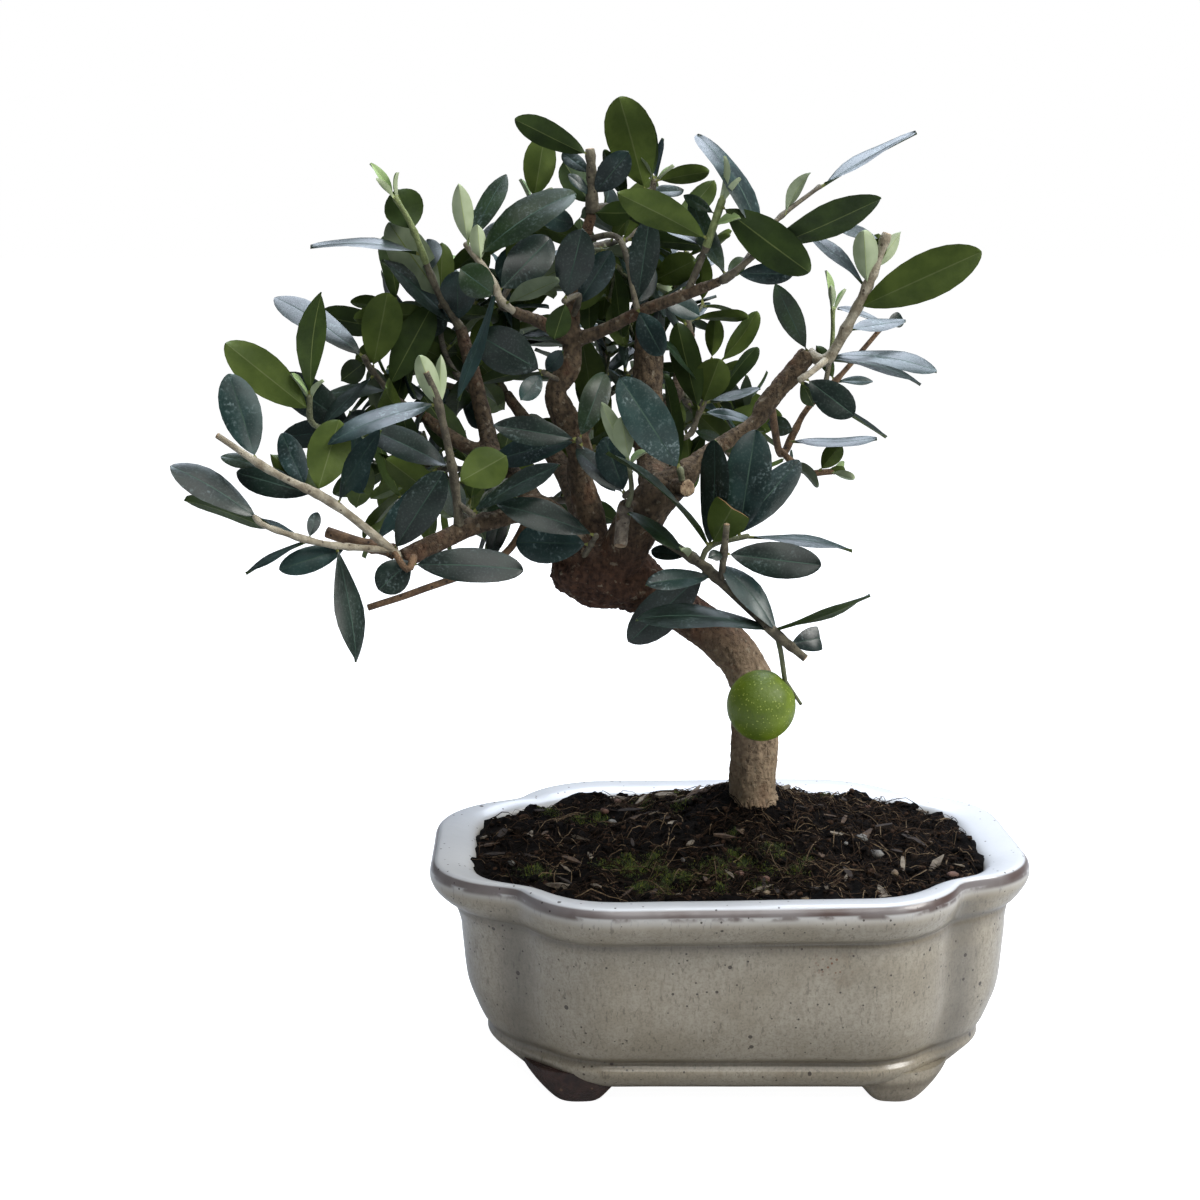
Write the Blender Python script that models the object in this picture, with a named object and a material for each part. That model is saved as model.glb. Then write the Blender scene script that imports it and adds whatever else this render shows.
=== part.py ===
"""Olive bonsai in a glazed oval pot: pot, soil, trunk, boughs and masses of foliage."""

import math
import random

import bmesh
import bpy
import numpy as np
from mathutils import Matrix, Vector, noise
from mathutils.bvhtree import BVHTree

# Lengths are in millimetres and angles in degrees until a mesh is made.
MM = 0.001
CLEAR = 0.3                     # gap kept between neighbouring pieces
CRUMB = 1.5                     # loose scraps under this size are dropped without a word

# ---- pot ---------------------------------------------------------------------------------
POT_HALF_LENGTH = 74.0          # to the outermost line of the lip
POT_HALF_DEPTH = 51.9
POT_BACK = 1.3                  # how far the pot stands behind the tree's own middle
BODY_TURN = 1.2
LIP_TURN = 3.5                  # the hand-made lip sits turned on the body
BODY_ASIDE = 1.2                # and the body lies this far to the right of the lip
LIP_FROM = 38.0
LIP_RISE = 10.0
END_LOBE_HALF_DEPTH = 34.0      # the outline is a long body crossed by a short one
SIDE_LOBE_HALF_LENGTH = 54.0
END_LOBE_ROUND = 21.0
SIDE_LOBE_ROUND = 25.0
NOTCH_FOLLOW = 0.28             # how far the notches move in where the wall is drawn in
NOTCH_BLEND = 6.5
QUARTER = (0, 9, 14, 18.5, 23, 27.5, 32, 36.5, 41, 47, 55, 65, 77)
# height above ground, inset of the long sides and of the ends from the lip's outermost line
POT_OUTSIDE = (
    (4.2, 15.8, 21.2), (5.4, 13.4, 18.8), (7.6, 11.4, 15.5), (9.8, 10.6, 13.0),
    (11.3, 11.4, 12.6), (12.4, 11.3, 12.7), (14.0, 9.8, 11.8), (17.5, 8.1, 10.2),
    (24.0, 6.3, 8.0), (34.0, 5.4, 7.0), (40.0, 5.0, 6.5), (43.9, 4.2, 5.3),
    (46.5, 2.3, 2.6), (48.7, 0.8, 0.8), (50.9, 0.0, 0.0), (53.1, 0.3, 0.3), (54.6, 1.5, 1.5),
)
POT_INSIDE = (
    (54.8, 3.4, 3.4), (54.2, 7.2, 7.2), (52.6, 10.4, 10.4), (49.0, 11.4, 11.4),
    (36.0, 12.0, 12.0), (20.0, 14.6, 14.6), (11.5, 21.0, 21.0), (9.5, 28.0, 28.0),
)
# height above ground, middle, half length and half width, from the sole up into the pot
FOOT_RINGS = (
    (0.0, 38.6, 31.6, 4.8, 3.9), (1.0, 38.8, 31.3, 7.0, 5.5), (3.8, 39.6, 30.0, 10.6, 7.6),
    (6.5, 40.1, 28.4, 13.6, 9.2), (8.6, 40.1, 27.5, 14.8, 10.0),
)
FOOT_TURN = 36.0                # the feet follow the corners of the outline

# ---- soil --------------------------------------------------------------------------------
SOIL_SKIN = 0.8                 # gap between soil and pot
SOIL_EDGE_HEIGHT = 52.0
SOIL_EDGE_INSET = 11.3
SOIL_RINGS = (1.0, 0.93, 0.86, 0.79, 0.72, 0.65, 0.58, 0.51, 0.44, 0.37, 0.30, 0.23)
SOIL_LUMP = 2.6                 # height and width of the lumps in the soil
SOIL_LUMP_WIDTH = 9.0
GROUND_PATCH = 8.6              # flat spot that the trunk stands on
MOUND_SPREAD = 30.0             # how far the soil's mound reaches round the trunk

# ---- trunk and boughs --------------------------------------------------------------------
TRUNK_FOOT = (8.0, 13.0, 59.5)
LIMB_STEP = 5.2                 # distance between the rings of a limb
TWIG_STEP = 9.0
THICK_LIMB = 5.0                # radius above which a limb has the finer round
TRUNK_LUMPS = 0.07              # share of the radius
BOUGH_LUMPS = 0.05
# name, limb it leaves, how far along that limb, legs of (run, heading, climb), radii
LIMBS = (
    ("trunk", None, 0,
     ((4, 180, 85), (13, -85, 85), (12, -100, 80), (6, -120, 70), (8, -165, 60),
      (8, -160, 45), (9, -170, 35), (10, -165, 35), (8, -175, 30), (7, -170, 10), (6, -170, 15)),
     (7.1, 6.2, 5.9, 5.7, 5.7, 5.4, 5.1, 5.4, 6.2, 7.6, 8.5, 7.3)),
    ("bough_left", "trunk", 0.97,
     ((13, -150, 55), (8, -155, 45), (9, -150, -5), (12, -150, -15), (16, -150, -20)),
     (5.2, 4.3, 3.4, 2.7, 2.2, 2.4)),
    ("bough_left_back", "bough_left", 0.35,
     ((12, 130, 35), (10, 135, 30), (9, 155, 15), (15, 155, 30)),
     (2.6, 2.4, 2.2, 1.9, 1.4)),
    ("bough_left_rear", "bough_left_back", 0.48,
     ((10, 115, 55), (11, 135, 70), (13, 140, 70)),
     (2.2, 2.1, 2, 1.6)),
    ("bough_centre", "trunk", 0.94,
     ((14, 110, 65), (10, 165, 75), (8, -90, 75), (10, -170, 65), (6, -140, 70), (7, -15, 60),
      (6, 5, 85), (10, 85, 85), (11, 40, 75), (10, 5, 75)),
     (4.8, 3.8, 3.2, 3.2, 3.4, 2.7, 2.6, 2.3, 1.9, 1.5, 1.3)),
    ("arm_left", "bough_centre", 0.66,
     ((9, -145, 30), (9, -145, 20)),
     (1.7, 1.6, 1.3)),
    ("arm_right", "bough_centre", 0.66,
     ((10, -25, 20), (10, -25, 25), (12, -20, 20), (9, -25, 20)),
     (1.9, 1.6, 1.5, 1.4, 1.1)),
    ("bough_right", "trunk", 0.9,
     ((15, -40, 60), (9, -20, 55), (8, 0, 40), (7, 25, 40), (15, 20, 30), (6, 25, 50),
      (16, 10, 50)),
     (6.3, 5.8, 5, 3.5, 2.1, 1.8, 2.3, 2.4)),
    ("bough_rear", "bough_right", 0.32,
     ((14, 95, 30), (16, 105, 70), (18, 75, 80)),
     (4, 4, 3.9, 3.7)),
    ("stub_grey", "bough_right", 0.22,
     ((9, -115, 30), (10, -105, -60)),
     (1.9, 1.9, 1.7)),
    ("stub_cut", "bough_right", 0.37,
     ((10, -65, 5),),
     (2.3, 2.1)),
    ("bough_back_left", "trunk", 0.94,
     ((20, 105, 35), (18, 115, 40), (16, 130, 35), (13, 135, 40)),
     (4, 3.2, 2.6, 1.9, 1.5)),
    ("bough_back_right", "bough_rear", 0.41,
     ((16, 70, 25), (16, 75, 35), (12, 75, 45)),
     (2.4, 2.1, 1.7, 1.4)),
)

# ---- foliage -----------------------------------------------------------------------------
LEAF_THICKNESS = 0.55
LEAF_ROOT = 0.3                 # how far a leaf's root is sunk past the twig's middle
LEAF_STALK = 1.6                # length of a leaf that lies within its twig
LEAF_FLOOR = 62.0               # no leaf hangs lower than this
PLAIN, PALE, CLIPPED = range(3)
# name, mass, what it leaves, how far along it, legs of (run, heading, climb), radii, tip
SHOOTS = (
    ("pale twig", "left_tip", "bough_left", 1,
     ((22, -145, 40), (17, -150, 30), (15, -145, 35)), (1.1, 0.7), "cut"),
    ("low twig", "left_tip", "pale twig", 0.07,
     ((17, -145, 10), (14, -150, 20), (4, -150, 40)), (0.8, 0.55), "bud"),
    ("knob twig", "left_tip", "pale twig", 0.06,
     ((10, 145, 5), (9, 165, 15)), (1.5, 1.4), "cut"),
    ("under twig", "left_tip", "pale twig", 0.06,
     ((7, -50, -30), (4, 70, 35)), (0.8, 0.7), "bud"),
    ("broken twig", "left_under", "bough_left", 0.39,
     ((14, -170, -55), (21, -165, -20), (13, -160, -15)), (0.95, 0.8), "cut"),
    ("upright twig", "left_upright", "bough_left", 0.73,
     ((15, -105, 75), (17, -130, 75), (8, -135, 65)), (1.1, 0.75), "cut"),
    ("crossing twig", "left_upright", "upright twig", 0.19,
     ((5, -15, -35),), (0.7, 0.6), "bud"),
    ("far twig", "far_left", "bough_left_back", 1,
     ((19, -140, -10), (12, -135, 10), (7, -105, 75)), (0.9, 0.6), "bud"),
    ("second twig", "far_left", "bough_left_back", 0.98,
     ((8, -155, 35), (10, -135, 45), (4, -120, 50)), (0.8, 0.6), "bud"),
    ("high left twig", "upper_left", "bough_left_rear", 0.99,
     ((12, -130, 50), (18, -125, 60), (8, -160, 60)), (0.95, 0.6), "sprout"),
    ("side twig", "upper_left", "high left twig", 0.22,
     ((10, 140, -20), (11, 140, -20)), (0.8, 0.6), "bud"),
    ("silver twig", "top_left", "arm_left", 0.99,
     ((5, -155, 40), (4, -170, 75), (10, 145, 45), (2, 145, 45)), (0.85, 0.55), "bud"),
    ("fork twig", "top_left", "silver twig", 0.04,
     ((7, 115, 10), (13, 65, 45), (15, 30, 75)), (0.8, 0.6), "bud"),
    ("leader", "top", "bough_centre", 1,
     ((8, -90, 85), (7, -110, 80)), (1.25, 1), "cut"),
    ("high twig", "top", "leader", 0.08,
     ((9, 40, 5), (9, 20, 25), (2, -45, 75)), (0.85, 0.6), "bud"),
    ("mid twig", "top_middle", "bough_centre", 0.93,
     ((13, -50, 0), (15, -55, -65), (2, 30, -75)), (0.8, 0.6), "bud"),
    ("inner twig", "inner", "bough_centre", 0.72,
     ((10, -75, 35), (6, -125, -10)), (0.75, 0.6), "bud"),
    ("knot twig", "inner_left", "bough_centre", 0.55,
     ((11, -110, 15),), (0.7, 0.6), "bud"),
    ("right twig", "top_right", "arm_right", 1,
     ((3, -15, 30), (10, -10, 40)), (0.95, 0.7), "bud"),
    ("standing twig", "top_right", "arm_right", 0.78,
     ((12, -30, 65), (11, -25, 70)), (0.9, 0.7), "sprout"),
    ("behind twig", "top_right", "right twig", 0.48,
     ((17, 55, 35), (17, 40, 30)), (0.7, 0.5), "bud"),
    ("white twig", "right", "bough_right", 1,
     ((5, -25, -15), (12, -20, 60), (8, -15, 65), (13, -25, 70)), (1.35, 1.1), "cut"),
    ("low white twig", "right", "white twig", 0.14,
     ((9, -125, -20), (3, -160, -30)), (0.9, 0.6), "bud"),
    ("orange twig", "right_back", "bough_right", 0.81,
     ((21, 75, -45), (7, 45, 45), (7, 15, 60), (11, 5, 45), (18, 0, 50)), (1, 0.6), "bud"),
    ("low orange twig", "right_back", "orange twig", 0.3,
     ((9, 20, -40), (7, 0, 0)), (0.8, 0.6), "bud"),
    ("sprout twig", "right_back", "orange twig", 0.64,
     ((12, 50, 75), (9, 75, 90)), (0.7, 0.5), "sprout"),
    ("thin back twig", "right_back_mid", "bough_rear", 0.41,
     ((12, 40, 0), (8, 55, 45), (9, 50, 55)), (0.8, 0.55), "bud"),
    ("top back twig", "right_back_high", "bough_back_right", 1,
     ((11, 120, 60), (11, 145, 65)), (0.85, 0.55), "bud"),
    ("pale pair twig", "front", "stub_grey", 0.54,
     ((6, -60, 60), (7, -120, 80)), (0.75, 0.5), "bud"),
    ("front twig", "front", "pale pair twig", 0.48,
     ((3, 125, -30),), (0.7, 0.6), "bud"),
    ("cut side twig", "front_right", "stub_cut", 0.78,
     ((5, -115, 65),), (0.8, 0.7), "bud"),
    ("left front twig", "front_left", "trunk", 1,
     ((18, -70, 35),), (0.8, 0.6), "bud"),
    ("dark twig", "front_dark", "bough_centre", 0.34,
     ((10, -90, 25),), (0.75, 0.6), "bud"),
    ("olive twig", "lower_right", "bough_right", 0.21,
     ((18, -30, -25), (8, -30, -35), (17, -20, -40), (10, -25, -35)), (1.25, 0.95), "cut"),
    ("cut shoot", "lower_right", "olive twig", 0.49,
     ((7, -75, 75), (8, -75, 75)), (0.85, 0.75), "cut"),
    ("cross shoot", "lower_right", "olive twig", 0.36,
     ((5, 5, 60), (9, 0, 15)), (0.7, 0.5), "bud"),
    ("olive stalk", "lower_right", "olive twig", 0.83,
     ((4, -10, -75), (8, 50, -75)), (0.65, 0.6), "olive"),
    ("stalk spur", "lower_right", "olive stalk", 1,
     ((7, -10, -55),), (0.5, 0.4), "cut"),
    ("back twig 1", "back_left", "bough_back_left", 1,
     ((14, 145, 50), (14, 145, 80)), (0.9, 0.6), "bud"),
    ("back twig 2", "back_left", "back twig 1", 0.1,
     ((14, -170, 0), (11, -160, 25)), (0.85, 0.6), "bud"),
    ("back twig 3", "back_left", "back twig 1", 0.3,
     ((20, 50, 50), (14, 20, 70)), (0.85, 0.6), "bud"),
    ("back twig 4", "back_mid", "bough_back_left", 0.54,
     ((18, 65, 35), (16, 65, 50), (17, 105, 65)), (0.95, 0.6), "bud"),
    ("back twig 5", "back_mid", "back twig 4", 0.48,
     ((19, 35, 40), (14, 55, 70)), (0.8, 0.6), "bud"),
    ("back twig 6", "back_low", "bough_back_left", 0.39,
     ((17, 135, -5), (16, 150, 5), (13, 160, 15)), (0.9, 0.6), "bud"),
    ("back twig 7", "back_right", "bough_back_right", 0.55,
     ((20, 60, -35), (16, 35, -45)), (0.85, 0.6), "bud"),
    ("back twig 8", "back_far_right", "bough_back_right", 0.86,
     ((17, 75, -30), (9, 65, -45)), (0.85, 0.6), "bud"),
    ("crown twig", "back_top", "bough_centre", 0.9,
     ((17, 75, 5), (13, 65, 5), (11, 55, 25)), (0.9, 0.6), "bud"),
    ("crown side twig", "back_top", "crown twig", 0.41,
     ((11, 35, -45), (7, -5, -15)), (0.8, 0.6), "bud"),
    ("left fill twig", "left_mid", "bough_left", 0.65,
     ((16, 130, 15), (13, 140, 20), (12, 150, 30)), (0.85, 0.6), "bud"),
    ("rear fill twig", "rear_mid", "bough_left_rear", 0.44,
     ((18, 125, 30), (13, 110, 50), (14, 70, 70)), (0.85, 0.6), "bud"),
    ("shelf twig", "rear_low", "bough_left_back", 0.4,
     ((14, 130, -10), (16, 135, -5), (12, 155, 20)), (0.85, 0.6), "bud"),
)

# place along the shoot, heading, climb, length, width, turn of the face, kind
LEAVES = {
    "pale twig": (
        (0.75, 170, 15, 11, 4, -45, PLAIN),
        (0.5, 170, 15, 20, 7, -60, PLAIN),
        (0.45, 150, 30, 18, 6, 120, PLAIN),
        (0.8, 140, 65, 21, 9, -45, PLAIN),
        (0.5, 55, 65, 18, 10, -135, PLAIN),
        (0.4, -25, 65, 21, 7, 75, PLAIN),
        (0.55, 125, 50, 17, 6, -30, PLAIN),
    ),
    "low twig": (
        (0.95, -175, 35, 23, 8, -45, PLAIN),
        (0.8, 170, 20, 23, 8, 45, PLAIN),
        (0.6, -160, -25, 16, 5, -15, PLAIN),
        (0.3, -160, -15, 17, 6, -75, PLAIN),
        (0.4, -50, -70, 27, 9, -15, PLAIN),
        (0.6, 70, 55, 7, 3, 30, PLAIN),
        (0.65, 150, 15, 16, 5, 0, PLAIN),
    ),
    "knob twig": (
        (0, -20, 55, 23, 9, 105, PLAIN),
        (0.35, 35, 50, 22, 7, 15, PLAIN),
    ),
    "under twig": (
        (1, -160, -40, 11, 8, -75, PLAIN),
        (0.8, -5, 0, 26, 9, 60, PLAIN),
    ),
    "broken twig": (
        (0.35, 75, 50, 14, 5, 15, PLAIN),
    ),
    "upright twig": (
        (0.75, -155, 70, 14, 5, 75, PALE),
        (0.75, 85, 80, 13, 3, -165, PALE),
        (0.8, -165, -15, 27, 9, -30, PLAIN),
        (0.4, 165, 25, 23, 8, -45, PLAIN),
        (0.3, 25, 25, 14, 10, -105, PLAIN),
        (0.05, 115, 50, 13, 7, -15, PLAIN),
    ),
    "crossing twig": (
        (0.85, -5, 30, 24, 8, 30, PLAIN),
        (1, 30, 30, 14, 6, 75, PLAIN),
    ),
    "far twig": (
        (0.9, -165, 40, 26, 10, 90, PLAIN),
        (1, 25, 85, 25, 8, -75, PLAIN),
        (0.45, 145, -5, 18, 11, 90, PLAIN),
        (0.45, -95, 25, 9, 7, -150, PLAIN),
        (0.35, 40, -70, 19, 8, 120, PLAIN),
        (0.5, 145, -5, 25, 8, -60, PLAIN),
    ),
    "second twig": (
        (1, 165, 35, 28, 10, -30, PLAIN),
        (0.8, -25, 75, 20, 10, -60, PLAIN),
        (0.95, 130, -25, 12, 6, 60, PLAIN),
        (0.75, -140, -35, 19, 6, -15, PLAIN),
        (0.5, 50, 65, 18, 6, 0, PLAIN),
        (0.5, 20, 60, 23, 9, -105, PLAIN),
        (0.45, 160, 0, 19, 6, -30, PLAIN),
    ),
    "high left twig": (
        (0.25, -165, 55, 23, 10, 90, PLAIN),
        (0.75, 140, 60, 12, 10, 135, PLAIN),
        (0.6, -170, 5, 27, 9, -15, PLAIN),
        (0, -155, 40, 27, 9, -60, PLAIN),
        (0.05, -90, 65, 14, 9, -180, PLAIN),
        (0.45, 105, 50, 12, 7, -15, PLAIN),
        (0.25, 140, -45, 13, 8, -120, PLAIN),
        (0.05, 150, 15, 17, 6, -45, PLAIN),
    ),
    "silver twig": (
        (0.95, -140, 80, 15, 5, 60, PALE),
        (0.7, 130, 80, 9, 4, 150, PALE),
        (1, 45, 55, 21, 7, 15, PLAIN),
        (0.9, 45, 35, 15, 5, 30, PLAIN),
        (0.8, -15, 35, 28, 10, 60, PLAIN),
        (0.3, 25, 50, 19, 10, 75, PLAIN),
        (0.15, -30, 25, 17, 6, -45, PLAIN),
        (0.35, -140, -60, 28, 10, 15, PLAIN),
        (0.25, -160, 35, 11, 8, -105, PLAIN),
    ),
    "fork twig": (
        (1, 20, 80, 16, 8, -105, PLAIN),
        (0.75, -150, -60, 12, 8, -60, PLAIN),
        (0.95, 40, -15, 13, 6, 105, PLAIN),
    ),
    "leader": (
        (0.9, -165, 25, 20, 7, 60, PLAIN),
        (0.6, 140, 30, 11, 4, -45, PLAIN),
        (0.25, -150, 40, 8, 3, -75, PLAIN),
        (0.1, 125, 40, 15, 7, 135, PLAIN),
        (0.25, -30, 45, 14, 7, 120, PLAIN),
        (0, -150, -10, 17, 6, -30, PLAIN),
        (0, -35, -20, 12, 6, -105, PLAIN),
    ),
    "high twig": (
        (0.8, -140, 70, 24, 12, 45, PLAIN),
        (1, -170, 75, 18, 7, 75, PLAIN),
        (1, 70, 60, 12, 4, -30, PLAIN),
        (1, -15, 10, 14, 5, -60, PLAIN),
        (0.85, 45, 5, 13, 4, 45, PLAIN),
    ),
    "mid twig": (
        (1, -35, 80, 22, 7, 120, PLAIN),
        (1, -40, -55, 13, 7, 60, PLAIN),
        (1, 50, 35, 13, 5, 60, PLAIN),
    ),
    "inner twig": (
        (0.3, -25, 55, 16, 7, 105, PLAIN),
        (1, -55, 65, 18, 9, 150, PLAIN),
        (0.95, 140, -65, 10, 6, 45, PLAIN),
    ),
    "knot twig": (
        (1, -170, 30, 18, 11, -90, PLAIN),
        (1, -135, -40, 9, 5, -60, PLAIN),
        (0.95, -55, 35, 9, 4, 135, PLAIN),
    ),
    "right twig": (
        (0.95, -15, 25, 29, 10, -45, PLAIN),
        (0.25, -10, 0, 14, 5, 90, PLAIN),
        (0.95, 150, 60, 31, 11, 0, PLAIN),
        (0.15, 145, 60, 21, 7, -15, PLAIN),
        (0.15, 65, 20, 11, 4, -105, PLAIN),
        (0, 160, 20, 17, 6, -90, PLAIN),
    ),
    "standing twig": (
        (0.6, -170, 25, 27, 9, 45, PLAIN),
        (0.95, -15, -35, 26, 10, -90, PLAIN),
        (0, -175, 30, 29, 10, -15, PLAIN),
        (0.85, 140, 20, 10, 3, -75, PLAIN),
        (0.75, -35, 15, 7, 3, 60, PALE),
        (0.5, 145, 25, 13, 4, -30, PLAIN),
    ),
    "behind twig": (
        (1, 10, 30, 27, 9, 15, PLAIN),
        (0.6, 45, 50, 13, 4, -90, PLAIN),
    ),
    "white twig": (
        (0.5, -15, 25, 32, 11, -90, PLAIN),
        (0.65, -110, 70, 14, 6, 15, PALE),
        (0.75, 30, 50, 12, 4, -120, PALE),
        (0.75, 60, 70, 9, 5, -150, PLAIN),
        (0.95, 160, 20, 14, 5, -30, PLAIN),
        (0.65, 160, 40, 20, 7, -15, PLAIN),
        (0, -155, 60, 19, 6, -120, PLAIN),
        (0.15, -10, -5, 26, 9, 15, PLAIN),
        (0.35, 30, 10, 19, 6, 30, PLAIN),
        (0.1, 20, -10, 28, 10, 15, PLAIN),
    ),
    "low white twig": (
        (0.9, -20, -35, 15, 8, 75, PLAIN),
        (1, 15, -30, 28, 10, 15, PLAIN),
        (1, 55, -40, 10, 4, -45, PLAIN),
    ),
    "orange twig": (
        (0.7, 10, 0, 10, 3, 45, PLAIN),
        (0.4, -10, 5, 22, 7, 15, PLAIN),
        (1, 30, 10, 6, 4, 75, PLAIN),
        (1, 160, 20, 13, 4, -15, PLAIN),
        (0.45, -155, 15, 8, 5, -90, PLAIN),
        (0.7, 120, 50, 11, 4, 105, PLAIN),
    ),
    "low orange twig": (
        (0.8, -15, 60, 9, 5, -90, PLAIN),
        (0.9, 10, 10, 5, 3, -60, PLAIN),
    ),
    "thin back twig": (
        (0.75, -10, 70, 13, 9, -90, PLAIN),
        (0.7, 140, 75, 23, 8, 90, PLAIN),
        (0.9, -160, 50, 19, 6, -45, PLAIN),
        (0.7, 15, -10, 14, 5, 30, PLAIN),
        (0.5, 15, -20, 9, 3, 90, PLAIN),
        (0.8, 10, 15, 15, 5, 15, PLAIN),
    ),
    "pale pair twig": (
        (1, -160, 65, 16, 4, 75, PALE),
        (1, -125, 70, 12, 5, 45, PALE),
        (1, 15, 40, 5, 3, 15, PALE),
    ),
    "front twig": (
        (0.95, 145, 65, 15, 8, -60, PLAIN),
        (0.85, 160, 45, 18, 6, -45, PLAIN),
    ),
    "cut side twig": (
        (0.95, -155, 55, 27, 11, -105, PLAIN),
        (1, 105, 65, 24, 8, 105, PLAIN),
    ),
    "left front twig": (
        (1, -170, 20, 25, 8, -60, PLAIN),
        (0.75, 170, 10, 18, 10, -75, PLAIN),
    ),
    "dark twig": (
        (1, -170, 10, 21, 7, -75, PLAIN),
        (0.9, -25, -50, 15, 5, 60, PLAIN),
        (0.9, 35, 65, 18, 7, 60, PLAIN),
        (0.9, 160, -20, 23, 8, -60, PLAIN),
    ),
    "olive twig": (
        (0.4, 170, -45, 27, 10, -90, PLAIN),
        (0.45, -160, 0, 17, 6, -45, PLAIN),
        (0.8, -175, 10, 32, 11, -15, PLAIN),
        (0.85, 160, 50, 22, 7, -30, PLAIN),
        (0.8, -15, 25, 25, 8, -30, PLAIN),
        (0.9, 25, 5, 9, 6, 75, CLIPPED),
        (0.3, -165, 40, 19, 6, -45, PLAIN),
        (0.3, 150, 10, 11, 4, -60, PLAIN),
        (0.3, -110, 30, 7, 3, 0, PALE),
    ),
    "cut shoot": (
        (0.5, -10, -5, 23, 9, 75, PLAIN),
        (0.5, -130, 0, 5, 3, -60, PLAIN),
    ),
    "cross shoot": (
        (0.35, -45, 55, 12, 10, -60, CLIPPED),
        (1, -5, -5, 25, 8, 15, PLAIN),
        (0.3, -30, 80, 26, 9, 75, PLAIN),
        (0.85, 35, 80, 26, 11, 45, PLAIN),
        (0.7, 25, 45, 26, 9, 30, PLAIN),
        (0.35, -170, 40, 37, 12, -15, PLAIN),
    ),
}

# first and last place along the shoot, number of pairs, leaf length, roll of the first pair
PAIRS = {
    "far twig": (0.1, 0.5, 2, 22, 40),
    "side twig": (0.25, 0.95, 3, 21, 20),
    "fork twig": (0.4, 0.9, 1, 20, 70),
    "high twig": (0.2, 0.6, 1, 20, 10),
    "low orange twig": (0.3, 0.5, 1, 14, 0),
    "top back twig": (0.1, 0.95, 3, 21, 30),
    "back twig 1": (0.08, 0.95, 4, 22, 20),
    "back twig 2": (0.2, 0.95, 3, 22, 60),
    "back twig 3": (0.2, 0.95, 4, 22, 40),
    "back twig 4": (0.15, 0.95, 4, 23, 0),
    "back twig 5": (0.2, 0.95, 3, 22, 50),
    "back twig 6": (0.2, 0.95, 4, 22, 10),
    "back twig 7": (0.2, 0.95, 3, 20, 30),
    "back twig 8": (0.2, 0.95, 2, 19, 70),
    "crown twig": (0.3, 0.97, 4, 22, 15),
    "crown side twig": (0.35, 0.95, 2, 21, 50),
    "left fill twig": (0.3, 0.97, 3, 22, 30),
    "rear fill twig": (0.25, 0.97, 4, 21, 60),
    "shelf twig": (0.3, 0.97, 3, 22, 75),
}
LEAF_SPREAD = 58.0              # angle between a paired leaf and its shoot
NUDGES = ((0, 0), (7, 0), (-7, 0), (0, 7), (0, -7), (12, 8), (-12, 8), (12, -8), (-12, -8),
          (20, 0), (-20, 0), (0, 18), (0, -18))
# olive fruit: run, heading and climb from the end of its stalk to its middle, then its radii
OLIVE_DROP = (8.2, -175.0, -47.0)
OLIVE_RADII = (8.2, 8.2, 8.5)

# ---- directions and paths ----------------------------------------------------------------
def direction(heading, climb):
    """Unit vector for a compass heading in plan (from +X towards +Y) and a climb."""
    across = math.cos(math.radians(climb))
    return Vector((across * math.cos(math.radians(heading)),
                   across * math.sin(math.radians(heading)),
                   math.sin(math.radians(climb))))


def walk(start, legs):
    """Corner points of a path that starts at a point and takes each leg in turn."""
    points = [Vector(start)]
    for run, heading, climb in legs:
        points.append(points[-1] + direction(heading, climb) * run)
    return points


def place_on(points, share):
    """Point at a share of a path's length."""
    runs = [(b - a).length for a, b in zip(points, points[1:])]
    left = sum(runs) * share
    for a, b, run in zip(points, points[1:], runs):
        if left <= run:
            return a.lerp(b, left / run)
        left -= run
    return points[-1].copy()


def heading_on(points, share):
    """Direction of a path at a share of its length."""
    step = 0.02
    ahead = place_on(points, min(1.0, share + step))
    behind = place_on(points, max(0.0, share - step))
    return (ahead - behind).normalized()


def smooth_path(points, radii, step):
    """Round the corners of a path: evenly spaced points and the radius at each."""
    if len(radii) == 2:
        last = len(points) - 1
        radii = [radii[0] + (radii[1] - radii[0]) * k / last for k in range(last + 1)]
    if len(points) == 2:
        count = max(2, round((points[1] - points[0]).length / step))
        shares = [k / count for k in range(count + 1)]
        return ([points[0].lerp(points[1], t) for t in shares],
                [radii[0] + (radii[1] - radii[0]) * t for t in shares])
    padded = [points[0] * 2 - points[1]] + points + [points[-1] * 2 - points[-2]]
    out = []
    thick = []
    for k in range(len(points) - 1):
        p0, p1, p2, p3 = padded[k:k + 4]
        count = max(1, round((p2 - p1).length / step))
        for j in range(count):
            t = j / count
            out.append(0.5 * (2 * p1 + (p2 - p0) * t + (2 * p0 - 5 * p1 + 4 * p2 - p3) * t ** 2
                              + (3 * p1 - p0 - 3 * p2 + p3) * t ** 3))
            ease = t * t * (3 - 2 * t)
            thick.append(radii[k] + (radii[k + 1] - radii[k]) * ease)
    out.append(points[-1])
    thick.append(radii[-1])
    return out, thick


# ---- meshes ------------------------------------------------------------------------------
def make_object(name, verts, faces, material, smooth=True):
    mesh = bpy.data.meshes.new(name)
    mesh.from_pydata([tuple(v) for v in verts], [], faces)
    mesh.materials.append(material)
    obj = bpy.data.objects.new(name, mesh)
    bpy.context.scene.collection.objects.link(obj)
    tidy_mesh(obj, smooth)
    return obj


def tidy_mesh(obj, smooth=True):
    """Face every polygon outwards and set the shading."""
    work = bmesh.new()
    work.from_mesh(obj.data)
    bmesh.ops.recalc_face_normals(work, faces=work.faces)
    work.to_mesh(obj.data)
    work.free()
    obj.data.polygons.foreach_set("use_smooth", [smooth] * len(obj.data.polygons))


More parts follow.
